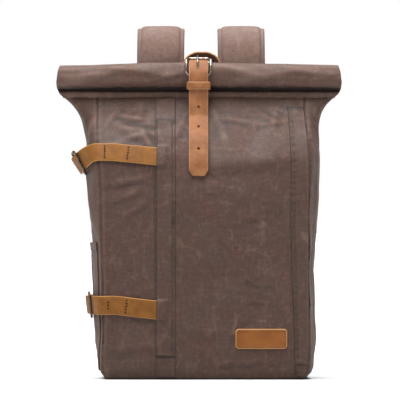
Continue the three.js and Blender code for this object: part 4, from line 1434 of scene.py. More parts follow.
        # The middle line lies inside the cloth all along the section.
        inside = np.pad(np.concatenate([line, line[::-1]]), ((0, 0), (1, 0)))
        centres = np.tile(inside, (self.columns - 1, 1))
        centres[:, 0] = np.repeat((x[:-1].mean(axis=1) + x[1:].mean(axis=1)) / 2, cells)
        flat = flat_lengths(rows)
        faces = facing_out(rows.reshape(-1, 3), Grid(rows, flat).faces(), centres)
        points, ends = self.close_ends(rows)
        flat = np.concatenate([flat.reshape(-1, 2), points[rows.shape[0] * rows.shape[1] :, 1:]])
        # The grooves at both ends are painted in shade as well.
        paint = {
            "wear": np.concatenate([wear.ravel(), np.zeros(cells)]),
            "deep": np.concatenate([shadow_band.ravel(), np.full(cells, 0.9)]),
        }
        obj = mesh_object("rolled_neck", points, np.concatenate([faces, ends]), flat, paint)
        dressing.finish(obj, LIT_ROLL_CANVAS, "rolled_top", "rolled_top")


ROLL = RolledTop()


def gusset_frame(side: Side, w: Array, h: Array) -> tuple[Array, Array]:
    """Points and outward normals of a side wall, relief included.

    Args:
        side: which wall.
        w: places from 0 at the front to 1 at the back.
        h: heights, up the neck.

    Returns:
        The points and the normals.
    """
    w, h = np.broadcast_arrays(np.asarray(w, float), np.asarray(h, float))
    base = BAG.gusset(side, w, h)
    step = 0.008
    across = BAG.gusset(side, np.minimum(w + step, 1), h) - BAG.gusset(side, np.maximum(w - step, 0), h)
    up = BAG.gusset(side, w, np.minimum(h + step, 1)) - BAG.gusset(side, w, np.maximum(h - step, BAG.lowest))
    normals = unit(np.cross(across, up)) * -side.value
    normals = normals * np.sign(np.sum(normals[..., :1] * side.value, axis=-1, keepdims=True))
    return base + normals * cloth_relief(base, normals)[..., None], normals


def hem_lift(distance: Array, thickness: float, radius: float = 1.0 * MM) -> Array:
    """The height of a sewn-on layer at a distance from its edge: a quarter circle up to its thickness."""
    share = 1 - np.clip(distance / radius, 0, 1)
    return thickness * np.sqrt(1 - share**2) - 0.4 * MM * share


@dataclass
class FrontStrip:
    """A strip of canvas sewn up the front, in one or two layers, its edges turned in and stitched."""

    name: str
    node: str
    table: Profile
    lift: float
    thickness: float
    stitch_lines: tuple[float, ...]
    openings: tuple[tuple[float, float, float], ...] = ()
    tucked: tuple[tuple[float, float], ...] = ()
    shaded: tuple[tuple[float, float], ...] = ()
    rows: int = 260
    columns: int = 28

    def surface(self, u: Array, h: Array) -> tuple[Array, Array]:
        """Places and normals of the wall under the strip, u across it and h up the neck."""
        x = BAG.width * mix(self.table.at("left", h), self.table.at("right", h), u)
        return front_frame(x, h * BAG.neck)

    def raised(self, u: Array, z: Array) -> Array:
        """Extra lift where the strip's ends stand open and where a strap is tucked under its left half.

        Args:
            u: places across the strip.
            z: heights.

        Returns:
            The lift per point.
        """
        total = np.zeros(np.broadcast(u, z).shape)
        for level, height, reach in self.openings:
            total = total + height * bump(z - level, reach) * (0.4 + 0.6 * np.sin(math.pi * u))
        for level, half in self.tucked:
            window = ease((half + 3.5 * MM - np.abs(z - level)) / (5 * MM))
            total = total + 3.0 * MM * window * (1 - ease((u - 0.45) / 0.4))
        return total

    def build(self, dressing: Dressing, stitches: StitchRun) -> None:
        """Makes the strip and lays its stitches.

        The lift off the wall is a quarter circle at every edge, with bell-shaped dips along the stitch lines
        and small waves between them where the thread draws the cloth together.

        Args:
            dressing: takes the piece.
            stitches: takes the stitch lines, given as shares of the strip's width.
        """
        low, high = self.table.keys[0], self.table.keys[-1]
        h = np.linspace(low, high, self.rows)[:, None]
        hem = (high - low) * np.array([0, 0.0006, 0.0014, 0.0024, 0.004, 0.006]) * 1.2
        h[:6, 0], h[-6:, 0] = low + hem, high - hem[::-1]
        u = clustered(self.columns, 0.85)[None, :]
        width = BAG.width * (self.table.at("right", h) - self.table.at("left", h))
        z = h * BAG.neck
        edge = np.minimum(np.minimum(u, 1 - u) * width, np.minimum(z - low * BAG.neck, high * BAG.neck - z))
        lift = self.lift + hem_lift(edge, self.thickness)
        # Painted shadow along the edges, darker on the left ones, where the shadow falls.
        deep = bump(edge, 1.3 * MM) * np.where(u < 0.5, 0.9, 0.4)
        for share in self.stitch_lines:
            off = (u - share) * width
            lift = lift - 0.45 * MM * bump(off, 1.0 * MM)
            pull = np.sin(2 * math.pi * z / (8.4 * MM) + 2 * np.sin(z * 90)) * bump(off, 4 * MM)
            lift = lift + 0.16 * MM * pull
            # Painted shade in the stitch dips.
            deep = np.maximum(deep, 0.3 * bump(off, 0.9 * MM))
        lift = lift + self.raised(u, z)
        # Painted shadow in the slits under the strips' open ends.
        for level, reach in self.shaded:
            deep = np.maximum(deep, bump(z - level, reach) * np.ones_like(u))
        places, normals = self.surface(u, h)
        points = places + normals * lift[..., None]
        wear = 0.45 * bump(edge - 1.4 * MM, 0.9 * MM) * (0.4 + 0.6 * np.sin(z * 230 + 3 * np.sin(z * 47)) ** 2)
        grid = Grid(points, flat_lengths(points), {"wear": wear, "deep": deep})
        obj = sheet_object(self.name, grid, np.array([0.0, 0.05, 0.2]))
        dressing.finish(obj, TRIM_CANVAS, self.node, self.node)
        for share in self.stitch_lines:
            run = np.linspace(low + 0.006, high - 0.006, 400)
            across = np.full(400, share)
            places, normals = self.surface(across, run)
            drop = hem_lift(np.full(400, 3 * MM), self.thickness) + self.lift - 0.32 * MM
            raised = self.raised(across, run * BAG.neck)
            stitches.along(places + normals * (drop + raised)[:, None], normals)


@dataclass
class BarTack:
    """A short dense row of stitches across a strip."""

    x: float
    z: float
    width: float
    lift: float
    upright: bool = False

    def build(self, stitches: StitchRun) -> None:
        """Lays four rows close together."""
        for k in range(4):
            t = np.linspace(-0.5, 0.5, 30) * self.width
            shift = (k - 1.5) * 0.9 * MM
            x, z = (self.x + shift, self.z + t) if self.upright else (self.x + t, self.z + shift)
            x, z = np.broadcast_arrays(x, z)
            places, normals = front_frame(x, z)
            stitches.along(places + normals * self.lift, normals)


@dataclass
class GussetPocket:
    """A flat pocket on the left side wall with a turned hem at its mouth."""

    top: float = 0.484
    bottom: float = 0.03
    first: float = 0.1
    last: float = 0.9
    thickness: float = 1.6 * MM
    hem: float = 12 * MM

    def build(self, dressing: Dressing, stitches: StitchRun) -> None:
        """Makes the pocket: the side wall moved out, thicker in the hem, its mouth standing slightly open.

        Args:
            dressing: takes the piece.
            stitches: takes its stitch lines.
        """
        h = np.linspace(self.bottom, self.top, 130)[:, None]
        w = clustered(80, 0.8)[None, :] * (self.last - self.first) + self.first
        places, normals = gusset_frame(Side.LEFT, w, h)
        span = 0.125
        edge = np.minimum(np.minimum(w - self.first, self.last - w) * span, (h - self.bottom) * BAG.neck)
        top = (self.top - h) * BAG.neck
        lift = hem_lift(edge, self.thickness + 0.2 * MM)
        lift = lift + 0.9 * MM * ease((self.hem - top) / (1.2 * MM)) - 0.5 * MM * bump(top - self.hem, 1 * MM)
        share = (w - self.first) / (self.last - self.first)
        lift = lift + 1.2 * MM * bump(top, 5 * MM) * np.sin(math.pi * share)
        points = places + normals * lift[..., None]
        # Painted shade along the edges and under the hem.
        deep = np.maximum(bump(edge, 1 * MM) * 0.5, 0.6 * bump(top - self.hem, 1 * MM))
        wear = 0.5 * bump(top, 1.5 * MM) * np.ones_like(w)
        grid = Grid(points, flat_lengths(points), {"deep": deep * np.ones_like(w), "wear": wear})
        obj = sheet_object("side_pocket", grid, np.array([0.0, 0.0, 0.1]), 1.2 * MM)
        dressing.finish(obj, TRIM_CANVAS, "left_pocket", "left_pocket")
        run = np.linspace(self.first + 0.02, self.last - 0.02, 200)
        level = np.full(200, self.top - (self.hem - 1.5 * MM) / BAG.neck)
        places, normals = gusset_frame(Side.LEFT, run, level)
        stitches.along(places + normals * (self.thickness + 0.9 * MM), normals)


@dataclass
class Label:
    """A blank leather patch, pressed to a sunken field inside a raised rim and stitched round."""

    x: float = 0.0855
    z: float = 0.0560
    width: float = 0.071
    height: float = 0.0275
    corner: float = 4.6 * MM
    thickness: float = 1.6 * MM
    rim: float = 3.4 * MM

    def outline_distance(self, a: Array, b: Array) -> Array:
        """Distance inside the rounded outline of points a across and b up from the middle.

        Args:
            a: places across.
            b: places up.

        Returns:
            The distance per point.
        """
        qa = np.abs(a) - (self.width / 2 - self.corner)
        qb = np.abs(b) - (self.height / 2 - self.corner)
        outside = np.hypot(np.maximum(qa, 0), np.maximum(qb, 0))
        return self.corner - outside - np.minimum(np.maximum(qa, qb), 0)

    def build(self, dressing: Dressing, stitches: StitchRun) -> None:
        """Makes the patch from rows whose width follows the rounded corners.

        Args:
            dressing: takes the piece.
            stitches: takes its stitch lines.
        """
        v = clustered(56, 0.7)[:, None] * 2 - 1
        b = v * self.height / 2
        into = np.maximum(np.abs(b) - (self.height / 2 - self.corner), 0)
        half = self.width / 2 - self.corner + np.sqrt(np.maximum(self.corner**2 - into**2, 0))
        a = (clustered(120, 0.7)[None, :] * 2 - 1) * half
        b = np.broadcast_to(b, a.shape)
        inside = self.outline_distance(a, b)
        lift = 0.5 * MM + hem_lift(inside, self.thickness, 0.9 * MM)
        lift = lift - 0.45 * MM * ease((inside - self.rim) / (0.8 * MM))
        lift = lift - 0.3 * MM * bump(inside - 2.0 * MM, 0.5 * MM)
        places, normals = front_frame(self.x + a, self.z + b)
        points = places + normals * lift[..., None]
        # A pale rim: the cut edge's own colour and a painted highlight.
        edge = np.clip(1.15 - inside / (2.2 * MM), 0, 1)
        # Painted shade in the sunken field and along the rim's step.
        deep = 0.45 * ease((inside - self.rim) / (0.8 * MM)) + 0.5 * bump(inside - self.rim, 0.7 * MM)
        grid = Grid(points, flat_lengths(points), {"edge": edge, "deep": deep})
        obj = sheet_object("label_patch_cover", grid, np.array([0.0, 0.05, 0.05]))
        dressing.finish(obj, LABEL_LEATHER, "label_patch", "label_patch")
        turn = np.linspace(0, 2 * math.pi, 721)
        inset = 2.0 * MM
        power = 0.16
        a = np.sign(np.cos(turn)) * np.abs(np.cos(turn)) ** power * (self.width / 2 - inset)
        b = np.sign(np.sin(turn)) * np.abs(np.sin(turn)) ** power * (self.height / 2 - inset)
        places, normals = front_frame(self.x + a, self.z + b)
        stitches.along(places + normals * (self.thickness + 0.3 * MM), normals)


@dataclass
class StrapLine:
    """A line on the bag that straps and buckles follow, with the strap's width axis along it."""

    line: Line
    sense: float
    width_at: Callable[[Array], Array]

    def stations(self, along: Array, lift: Array, across: Array | float = 0.0) -> tuple[Array, ...]:
        """Places moved across and lifted off the line, with the width, outward and forward axes.

        Args:
            along: distances along the line.
            lift: how far off the line.
            across: how far to the side.

        Returns:
            The places and the three axes.
        """
        tangent = self.line.tangent(along)
        width = square_to(self.width_at(along), tangent)
        normal = np.cross(tangent, width) * self.sense
        shift = np.broadcast_to(across, np.shape(along))[..., None] * width
        return self.line.at(along) + shift + np.asarray(lift)[..., None] * normal, width, normal, tangent


def lifts_at(rows: Sequence[tuple[float, float]], along: Array) -> Array:
    """The lift off the line between rows of distance and lift, smoothed."""
    table = np.array(rows)
    return hermite(table[:, 0], table[:, 1], along)


@dataclass
class LeatherStrap:
    """A leather strap along a line, with rounded pale edges, punched holes and an optional clipped tip."""

    name: str
    node: str
    ground: StrapLine
    start: float
    end: float
    width: float
    thickness: float
    lifts: Sequence[tuple[float, float]]
    holes: Sequence[tuple[float, float, float]] = ()
    tip: float = 0.0
    wave: float = 0.0
    stations: int = 120

    def build(self, dressing: Dressing, finish: Finish) -> None:
        """Makes the strap and punches its holes.

        Its lift waves by a sine of 31 mm, and towards a clipped tip its width shrinks evenly.

        Args:
            dressing: takes the piece.
            finish: its leather.
        """
        along = np.linspace(self.start, self.end, self.stations)
        if self.tip:
            close = self.end - self.tip * np.linspace(1, 0, 18) ** 1.5
            along = np.concatenate([along[along < close[0] - 1e-5], close])
        lift = lifts_at(self.lifts, along)
        done = along - self.start
        lift = lift + self.wave * np.sin(done * 2 * math.pi / 0.031) * ease(done / 0.02)
        places, width, normal, _ = self.ground.stations(along, lift)
        section = np.repeat(strap_section(self.width, self.thickness, 13, 0.3 * MM)[None], len(along), axis=0)
        if self.tip:
            left = np.clip((self.end - along) / self.tip, 0, 1)
            section[..., 0] *= (0.66 + 0.34 * np.clip(1.1 * left + 0.04, 0, 1))[:, None]
        obj = swept_object(self.name, places, width, normal, section, edge_paint(self.width))
        if self.holes:
            self.punch(obj)
        dressing.finish(obj, finish, self.node, self.node)

    def punch(self, obj: bpy.types.Object) -> None:
        """Cuts round holes, given as distance along, across and diameter, through the strap.

        Args:
            obj: the strap, whose mesh is replaced by the cut one.
        """
        along, across, diameter = np.array(self.holes).T
        lift = lifts_at(self.lifts, along)
        low, width, normal, tangent = self.ground.stations(along, lift - 2 * MM, across)
        ring = round_section(1.0, 14)
        circle = ring[None, :, :1] * width[:, None] + ring[None, :, 1:] * tangent[:, None]
        circle = diameter[:, None, None] * circle
        bottom = low[:, None] + circle
        top = bottom + normal[:, None] * (self.thickness + 5 * MM)
        count, sides = bottom.shape[:2]
        points = np.concatenate([bottom, top], axis=1).reshape(-1, 3)
        j = np.arange(sides)
        cell = np.stack([j, (j + 1) % sides, sides + (j + 1) % sides, sides + j], axis=-1)
        faces = (np.arange(count)[:, None, None] * 2 * sides + cell[None]).reshape(-1, 4)
        turned = facing_out(points, faces, np.repeat(low + normal * 2 * MM, sides, axis=0))
        caps = []
        for k in range(count):
            ends = [list(2 * sides * k + j), list(2 * sides * k + sides + j)]
            caps += [ends[0][::-1], ends[1]] if turned is faces else [ends[0], ends[1][::-1]]
        cutter = mesh_object(f"{self.name}_cutter", points, turned, points[:, :2], None, caps)
        cut = obj.modifiers.new("holes", "BOOLEAN")
        cut.operation = "DIFFERENCE"
        cut.solver = "EXACT"
        cut.object = cutter
        graph = bpy.context.evaluated_depsgraph_get()
        graph.update()
        result = bpy.data.meshes.new_from_object(obj.evaluated_get(graph))
        obj.modifiers.clear()
        obj.data = result
        bpy.data.objects.remove(cutter)


def metal_bar(name: str, places: Array, diameter: float, closed: bool = True) -> bpy.types.Object:
    """A round bar along places, running round to its start where closed.

    The width axis points away from the places' middle, and the normal lies across it and the bar.

    Args:
        name: the piece's name.
        places: points along the bar.
        diameter: the bar's diameter.
        closed: whether it is a ring.

    Returns:
        The bar.
    """
    if closed:
        tangent = unit(np.roll(places, -1, axis=0) - np.roll(places, 1, axis=0))
        away = places - places.mean(axis=0)
    else:
        tangent = unit(np.gradient(places, axis=0))
        spread = np.cross(tangent, unit(places[-1] - places[0]) + np.array([0.0, 0.0, 1e-3]))
        bent = np.linalg.norm(spread, axis=1, keepdims=True) > 1e-3
        away = np.where(bent, spread, np.array([1.0, 0.0, 0.0]))
    width = square_to(away, tangent)
    normal = np.cross(tangent, width)
    return swept_object(name, places, width, normal, round_section(diameter, 14), closed=closed)


def rounded_loop(corners: Array, radius: float, steps: int = 7) -> Array:
    """A closed path through corners, each rounded by a quadratic curve that leaves its sides a radius away.

    Args:
        corners: the corners in order.
        radius: where the curves leave the sides.
        steps: points to a corner.

    Returns:
        The path's points.
    """
    before, after = np.roll(corners, 1, axis=0), np.roll(corners, -1, axis=0)
    reach_in = np.minimum(radius, np.linalg.norm(before - corners, axis=1) / 2.2)[:, None]
    reach_out = np.minimum(radius, np.linalg.norm(after - corners, axis=1) / 2.2)[:, None]
    enter = corners + unit(before - corners) * reach_in
    leave = corners + unit(after - corners) * reach_out
    t = np.linspace(0, 1, steps)[None, :, None]
    curve = (1 - t) ** 2 * enter[:, None] + 2 * (1 - t) * t * corners[:, None] + t**2 * leave[:, None]
    return curve.reshape(-1, 3)


@dataclass
class Buckle:
    """A cast frame with clipped corners: a closed bar seen from the front, rounded by polishing."""

    name: str
    node: str
    ground: StrapLine
    hinge: float
    far: float
    width: float
    bar: float
    hinge_lift: float
    far_lift: float
    metal: PlatedMetal
    clip: float = 4 * MM

    def build(self, dressing: Dressing) -> None:
        """Makes the frame on the line between its hinge side and its far side.

        Args:
            dressing: takes the piece.
        """
        half = self.width / 2
        clipped = np.array([0.55 * self.clip, 0, 0, 0, 0, self.clip])
        side = np.stack([np.array([0, 0.16, 0.4, 0.65, 0.8, 1]), half - clipped], axis=1)
        loop = np.concatenate([side, side[::-1] * np.array([1, -1])])
        along = mix(self.hinge, self.far, loop[:, 0])
        lift = mix(self.hinge_lift, self.far_lift, loop[:, 0])
        corners = self.ground.stations(along, lift, loop[:, 1])[0]
        places = rounded_loop(corners, 2.2 * MM)
        dressing.finish(metal_bar(self.name, places, self.bar), self.metal, self.node, self.node)


def level_width(along: Array) -> Array:
    """The width axis of a strap that lies level: straight across the bag."""
    return np.tile([1.0, 0.0, 0.0], (*np.shape(along), 1))


@dataclass
class Closure:
    """The buckle strap over the roll, the short strap that holds the buckle, and the keeper round both."""

    x: float = -0.6 * MM
    width: float = 26.5 * MM
    leather: float = 2.6 * MM
    bar: float = 3.6 * MM
    pin: float = 2.6 * MM
    gap: float = 0.3 * MM
    keeper_wall: float = 1.8 * MM
    keeper_width: float = 10.5 * MM
    tip: float = 0.717
    chape_end: float = 0.823
    holes: tuple[float, ...] = (0.956, 0.883, 0.807)

    def __post_init__(self) -> None:
        """Lays the line from the back up over the roll and down the front, and both straps' lifts off it."""
        back_h = np.array([0.841, 0.862, 0.882, 0.904, 0.925, 0.947, 0.969, 0.985, 1.0])
        back = np.stack([np.zeros(9), BAG.back_plane(back_h), back_h * BAG.neck], axis=1)
        roll = np.pad(ROLL.winding(np.arange(0, 181, 30), 2 * MM), ((0, 0), (1, 0)))
        front_h = np.array([0.925, 0.904, 0.882, 0.862, 0.841, 0.806, 0.771, 0.72, 0.668])
        front = front_frame(np.zeros(9), front_h * BAG.neck)[0]
        t = np.array([0.25, 0.5, 0.75])
        hang = mix(roll[-1], front[0], np.stack([0 * t, t * t, t], axis=1))
        points = np.concatenate([back, roll, hang, front])
        points[:, 0] = self.x
        self.ground = StrapLine(Line(points), 1.0, level_width)
        near = self.ground.line.nearest
        self.far, self.hinge = self.on_roll(86), self.on_roll(176)
        self.keeper = near(hang[0])
        self.chape_at_keeper = self.keeper_wall + 3 * self.gap
        self.chape = [
            (self.hinge, 2.6 * MM),
            (self.keeper, self.chape_at_keeper),
            (near(hang[2]), 1.9 * MM),
            (self.on_front(0.887), 1.4 * MM),
            (self.on_front(self.chape_end), 1.2 * MM),
        ]
        self.over = self.leather + 3 * self.gap
        self.strap = [
            (0.0, 1.4 * MM),
            (self.on_roll(0) - 0.030, 1.6 * MM),
            (self.on_roll(0), 1.2 * MM),
            (self.far, 0.8 * MM),
            (mix(self.far, self.hinge, 0.6), 2.8 * MM),
            *((along, lift + self.over) for along, lift in self.chape),
            (self.on_front(self.tip), 2.2 * MM),
        ]

    def on_front(self, h: float) -> float:
        """The distance along the line at a height on the front, given up the neck."""
        return self.ground.line.nearest(front_frame(np.array(self.x), np.array(h * BAG.neck))[0])

    def on_roll(self, degrees: float) -> float:
        """The distance along the line at a turn angle of the roll."""
        return self.ground.line.nearest([self.x, *ROLL.winding(np.array(degrees), 2 * MM)])

    def build(self, dressing: Dressing) -> None:
        """Makes both straps, the keeper, the buckle frame and its tongue.

        Args:
            dressing: takes the pieces.
        """
        holes = [(self.on_front(h), 0.0, 3.6 * MM) for h in self.holes]
        LeatherStrap(
            "buckle_strap", "closure_strap", self.ground, 1 * MM, self.on_front(self.tip), self.width,
            self.leather, self.strap, holes, tip=9 * MM, wave=0.25 * MM, stations=190,
        ).build(dressing, CLOSURE_LEATHER)
        LeatherStrap(
            "buckle_holder", "buckle_chape", self.ground, self.hinge + self.bar / 2 + self.gap,
            self.on_front(self.chape_end), self.width, self.leather, self.chape, stations=60,
        ).build(dressing, CLOSURE_LEATHER)
        self.build_keeper(dressing)
        Buckle(
            "buckle_frame_cast", "buckle_frame", self.ground, self.hinge, self.far, self.width + 2 * self.bar,
            self.bar, self.bar / 2 + 2 * self.gap, self.leather + self.bar / 2 + 4 * self.gap, NICKEL,
        ).build(dressing)
        span = (self.hinge - self.far) / MM
        back = np.array([2.6, 5.5, 9, 15, span - 2, span + 2.5]) * MM
        lift = np.array([self.bar / MM / 2 + 0.6, 3.8, 6.6, 8.4, 9, 9.1]) * MM
        line = Line(self.ground.stations(self.hinge - back, lift, -1.4 * MM)[0])
        obj = metal_bar("buckle_pin", line.at(np.linspace(0, line.length, 40)), self.pin, closed=False)
        dressing.finish(obj, NICKEL, "buckle_tongue", "buckle_tongue")

    def build_keeper(self, dressing: Dressing) -> None:
        """Makes the keeper: a leather band closed round both straps, its corners rounded.

        Args:
            dressing: takes the piece.
        """
        station = self.ground.stations(np.array([self.keeper]), np.zeros(1))
        place_at, width, normal, tangent = (axis[0] for axis in station)
        half = (self.width + 2 * self.gap + 2 * MM) / 2 + self.keeper_wall / 2
        low = self.chape_at_keeper - 2 * self.gap - self.keeper_wall / 2
        high = self.chape_at_keeper + self.over + self.leather + 4 * self.gap + self.keeper_wall / 2
        corners = np.array([[-half, low], [half, low], [half, high], [-half, high]])
        loop = place_at + corners[:, :1] * width + corners[:, 1:] * normal
        places = rounded_loop(loop, 3.4 * MM, 8)
        ring_tangent = unit(np.roll(places, -1, axis=0) - np.roll(places, 1, axis=0))
        out = square_to(square_to(places - places.mean(axis=0), ring_tangent), tangent)
        along = np.tile(tangent, (len(places), 1))
        section = strap_section(self.keeper_width, self.keeper_wall, 9, 0.35 * MM)
        section[:, 1] -= self.keeper_wall / 2
        rim = edge_paint(self.keeper_width, 1.3 * MM)
        obj = swept_object("strap_loop", places, along, out, section, rim, closed=True)
        dressing.finish(obj, CLOSURE_LEATHER, "strap_keeper", "strap_keeper")


@dataclass(frozen=True)
class SideStrapRow:
    """One side strap's heights as shares of the neck's height, its outward tilt and its stand off the wall."""

    name: str
    front: float
    corner: float
    side: float
    back: float
    tilt: float
    stand: float
    under: float
    hole_columns: tuple[tuple[float, int], ...]


SIDE_STRAPS = (
    SideStrapRow("upper", 0.781, 0.797, 0.776, 0.771, 0.5, 10 * MM, 0.0, ((-0.097, 5), (-0.129, 5))),
    SideStrapRow("lower", 0.243, 0.262, 0.265, 0.265, 0.06, 2.6 * MM, 1.9 * MM, ((-0.0995, 5), (-0.124, 3))),
)


@dataclass
class SideStrap:
    """A leather strap from under the front band round the left corner to its buckle, and its rear strap."""

    row: SideStrapRow
    width: float = 26 * MM
    leather: float = 2.6 * MM
    bar: float = 3.6 * MM
    gap: float = 0.3 * MM

    def build(self, dressing: Dressing) -> None:
        """Lays the line over the front and the side wall, then makes the two straps and the buckle.

        Args:
            dressing: takes the pieces.
        """
        row, reach = self.row, self.width / 2
        corner_x = BAG.seam(Side.LEFT, np.array(row.corner))
        t = np.array([0, 0.25, 0.52, 0.77, 0.93])
        x = mix(-0.047, corner_x, t)
        z = BAG.neck * mix(row.front, row.corner, np.minimum(np.arange(5) / 3, 1))
        front = front_frame(x, z)[0]
        front_up = front_frame(x, z + reach)[0] - front_frame(x, z - reach)[0]
        w = np.array([0.02, 0.1, 0.2, 0.32, 0.45, 0.58, 0.72, 0.85, 0.9])
        h = np.where(w < 0.45, mix(row.corner, row.side, w / 0.45), mix(row.side, row.back, (w - 0.45) / 0.45))
        places, normals = gusset_frame(Side.LEFT, w, h)
        under = np.where(w < 0.1, 0.0, row.under)[:, None]
        side = places + normals * under
        share = reach / BAG.neck
        side_up = BAG.gusset(Side.LEFT, w, h + share) - BAG.gusset(Side.LEFT, w, h - share)
        line = Line(np.concatenate([front, side]))
        stops = np.array([line.nearest(p) for p in np.concatenate([front, side])])
        ups = unit(np.concatenate([front_up, side_up]))
        corner, buckle, rear = stops[5], stops[8], stops[12]
        tilt_rows = [
            (0.0, 0.0), (corner - 0.016, 0.0), (buckle - 0.008, row.tilt), (buckle + 0.022, row.tilt),
            (rear, 0.0), (rear + 0.020, 0.0),
        ]

        def width_at(along: Array) -> Array:
            """The wall's own slope, its upper edge leaned out by the tilt."""
            up = np.stack([hermite(stops, ups[:, k], along) for k in range(3)], axis=-1)
            tilt = lifts_at(tilt_rows, along)
            return up + np.stack([-np.sin(tilt), np.zeros_like(tilt), np.cos(tilt) - 1], axis=-1)

        ground = StrapLine(line, -1.0, width_at)
        far, hinge = buckle - 0.011, buckle + 0.015
        over = self.leather + 3 * self.gap
        lifts = [
            (0.0, 0.9 * MM),
            (corner - 0.016, 1.3 * MM),
            (corner, mix(1.7 * MM, row.stand, 0.3)),
            (far, row.stand),
            (hinge, row.stand + self.bar + 2 * self.gap),
            (hinge + 0.016, row.stand + over + self.gap),
        ]
        holes = []
        for column_x, count in row.hole_columns:
            at = line.nearest(front_frame(np.array(column_x), np.array(row.corner * BAG.neck))[0])
            across = (np.arange(count) - (count - 1) / 2) * 4.1 * MM
            holes += [(at + 0.2 * MM * math.sin(k * 2.1), float(a), 2.5 * MM) for k, a in enumerate(across)]
        LeatherStrap(
            f"{row.name}_side_leather", f"{row.name}_side_strap", ground, self.gap, hinge + 0.016, self.width,
            self.leather, lifts, holes, tip=5 * MM, wave=0.2 * MM, stations=150,
        ).build(dressing, LEATHER)
        rear_lifts = [(hinge, row.stand), (rear, 1.2 * MM), (rear + 0.014, 1.0 * MM)]
        LeatherStrap(
            f"{row.name}_rear_leather", f"{row.name}_rear_strap", ground, hinge + self.bar / 2 + self.gap,
            rear + 8 * MM, self.width, self.leather, rear_lifts, stations=50,
        ).build(dressing, LEATHER)
        Buckle(
            f"{row.name}_buckle_cast", f"{row.name}_side_buckle", ground, hinge, far,
            self.width + 2 * self.bar, self.bar, row.stand + self.bar / 2 - self.gap,
            row.stand + self.leather + self.bar / 2 + 2 * self.gap, AGED_METAL,
        ).build(dressing)


@dataclass
class GrabHandle:
    """A folded leather loop behind the roll, its feet sewn to the back."""

    width: float = 20 * MM
    span: float = 56 * MM
    top: float = 0.454
    thickness: float = 3.2 * MM
    lean: float = math.radians(33)

    def build(self, dressing: Dressing, stitches: StitchRun) -> None:
        """Makes the loop: feet along the back's slope, the middle standing up, its width turning to the back.

        The turned part leans, so its back edge lies lower and the dark inner face shows from the front.

        Args:
            dressing: takes the piece.
            stitches: takes its stitch lines.
        """
        rows = [
            (1.72, 0, 0, 0), (1.25, 0, 0, 0), (1.02, 4, 0.07, 0.35), (0.98, 6, 0.3, 0.9), (0.95, 5, 0.62, 1),
            (0.72, 5, 0.9, 1), (0.36, 5, 0.99, 1), (0, 5, 1, 1),
        ]
        rows = np.array(rows + [(-out, depth, height, turn) for out, depth, height, turn in rows[-2::-1]])
        foot_z = BAG.neck * 0.931
        foot_y = float(BAG.back_plane(np.array(0.931))) + 1.2 * MM
        loop_z = self.top - self.thickness - self.width / 2 * math.sin(self.lean)
        x = self.span * 0.07 - self.span / 2 * rows[:, 0]
        points = np.stack([x, foot_y + rows[:, 1] * MM, mix(foot_z, loop_z, rows[:, 2])], axis=1)
        line = Line(points)
        along = np.linspace(0, 1, 110) * line.length
        knots = np.array([line.nearest(p) for p in points])
        turn = np.interp(along, knots, rows[:, 3])[:, None]
        slope = BAG.back_plane(np.array([0.91, 0.952]))
        slope = unit(np.array([0.0, slope[0] - slope[1], -0.042 * BAG.neck]))
        tangent = line.tangent(along)
        width = mix(slope[None], np.array([[0.0, math.cos(self.lean), -math.sin(self.lean)]]), turn)
        width = square_to(width, tangent)
        normal = np.cross(tangent, width)
        section = strap_section(self.width, self.thickness, 13, 0.4 * MM)
        rim = edge_paint(self.width, 1.2 * MM)

        def paint(a: Array, b: Array) -> Paint:
            """Pale cut edges, and painted shade on the inner face."""
            inner = (b < 0.4 * self.thickness) & (np.abs(a) < self.width / 2 - 0.6 * MM)
            return {**rim(a, b), "deep": 1.0 * inner}

        obj = swept_object("handle_loop", line.at(along), width, normal, section, paint)
        dressing.finish(obj, CLOSURE_LEATHER, "grab_handle", "grab_handle")
        for side in (-1, 1):
            shift = width * side * (self.width / 2 - 2.6 * MM)
            stitches.along(line.at(along) + shift + normal * (self.thickness + 0.15 * MM), normal)


def padded_section(width: float, thickness: float, count: int = 44, power: float = 2.6) -> Array:
    """A cushioned section: a closed curve between an ellipse and a rectangle.

    Args:
        width: its width.
        thickness: its thickness.
        count: how many points.
        power: 2 for an ellipse, more for a squarer curve.

    Returns:
        Points of the section in order.
    """
    turn = np.linspace(0, 2 * math.pi, count, endpoint=False)
    circle = np.stack([np.cos(turn), np.sin(turn)], axis=1)
    return np.array([width / 2, thickness / 2]) * np.sign(circle) * np.abs(circle) ** (2 / power)


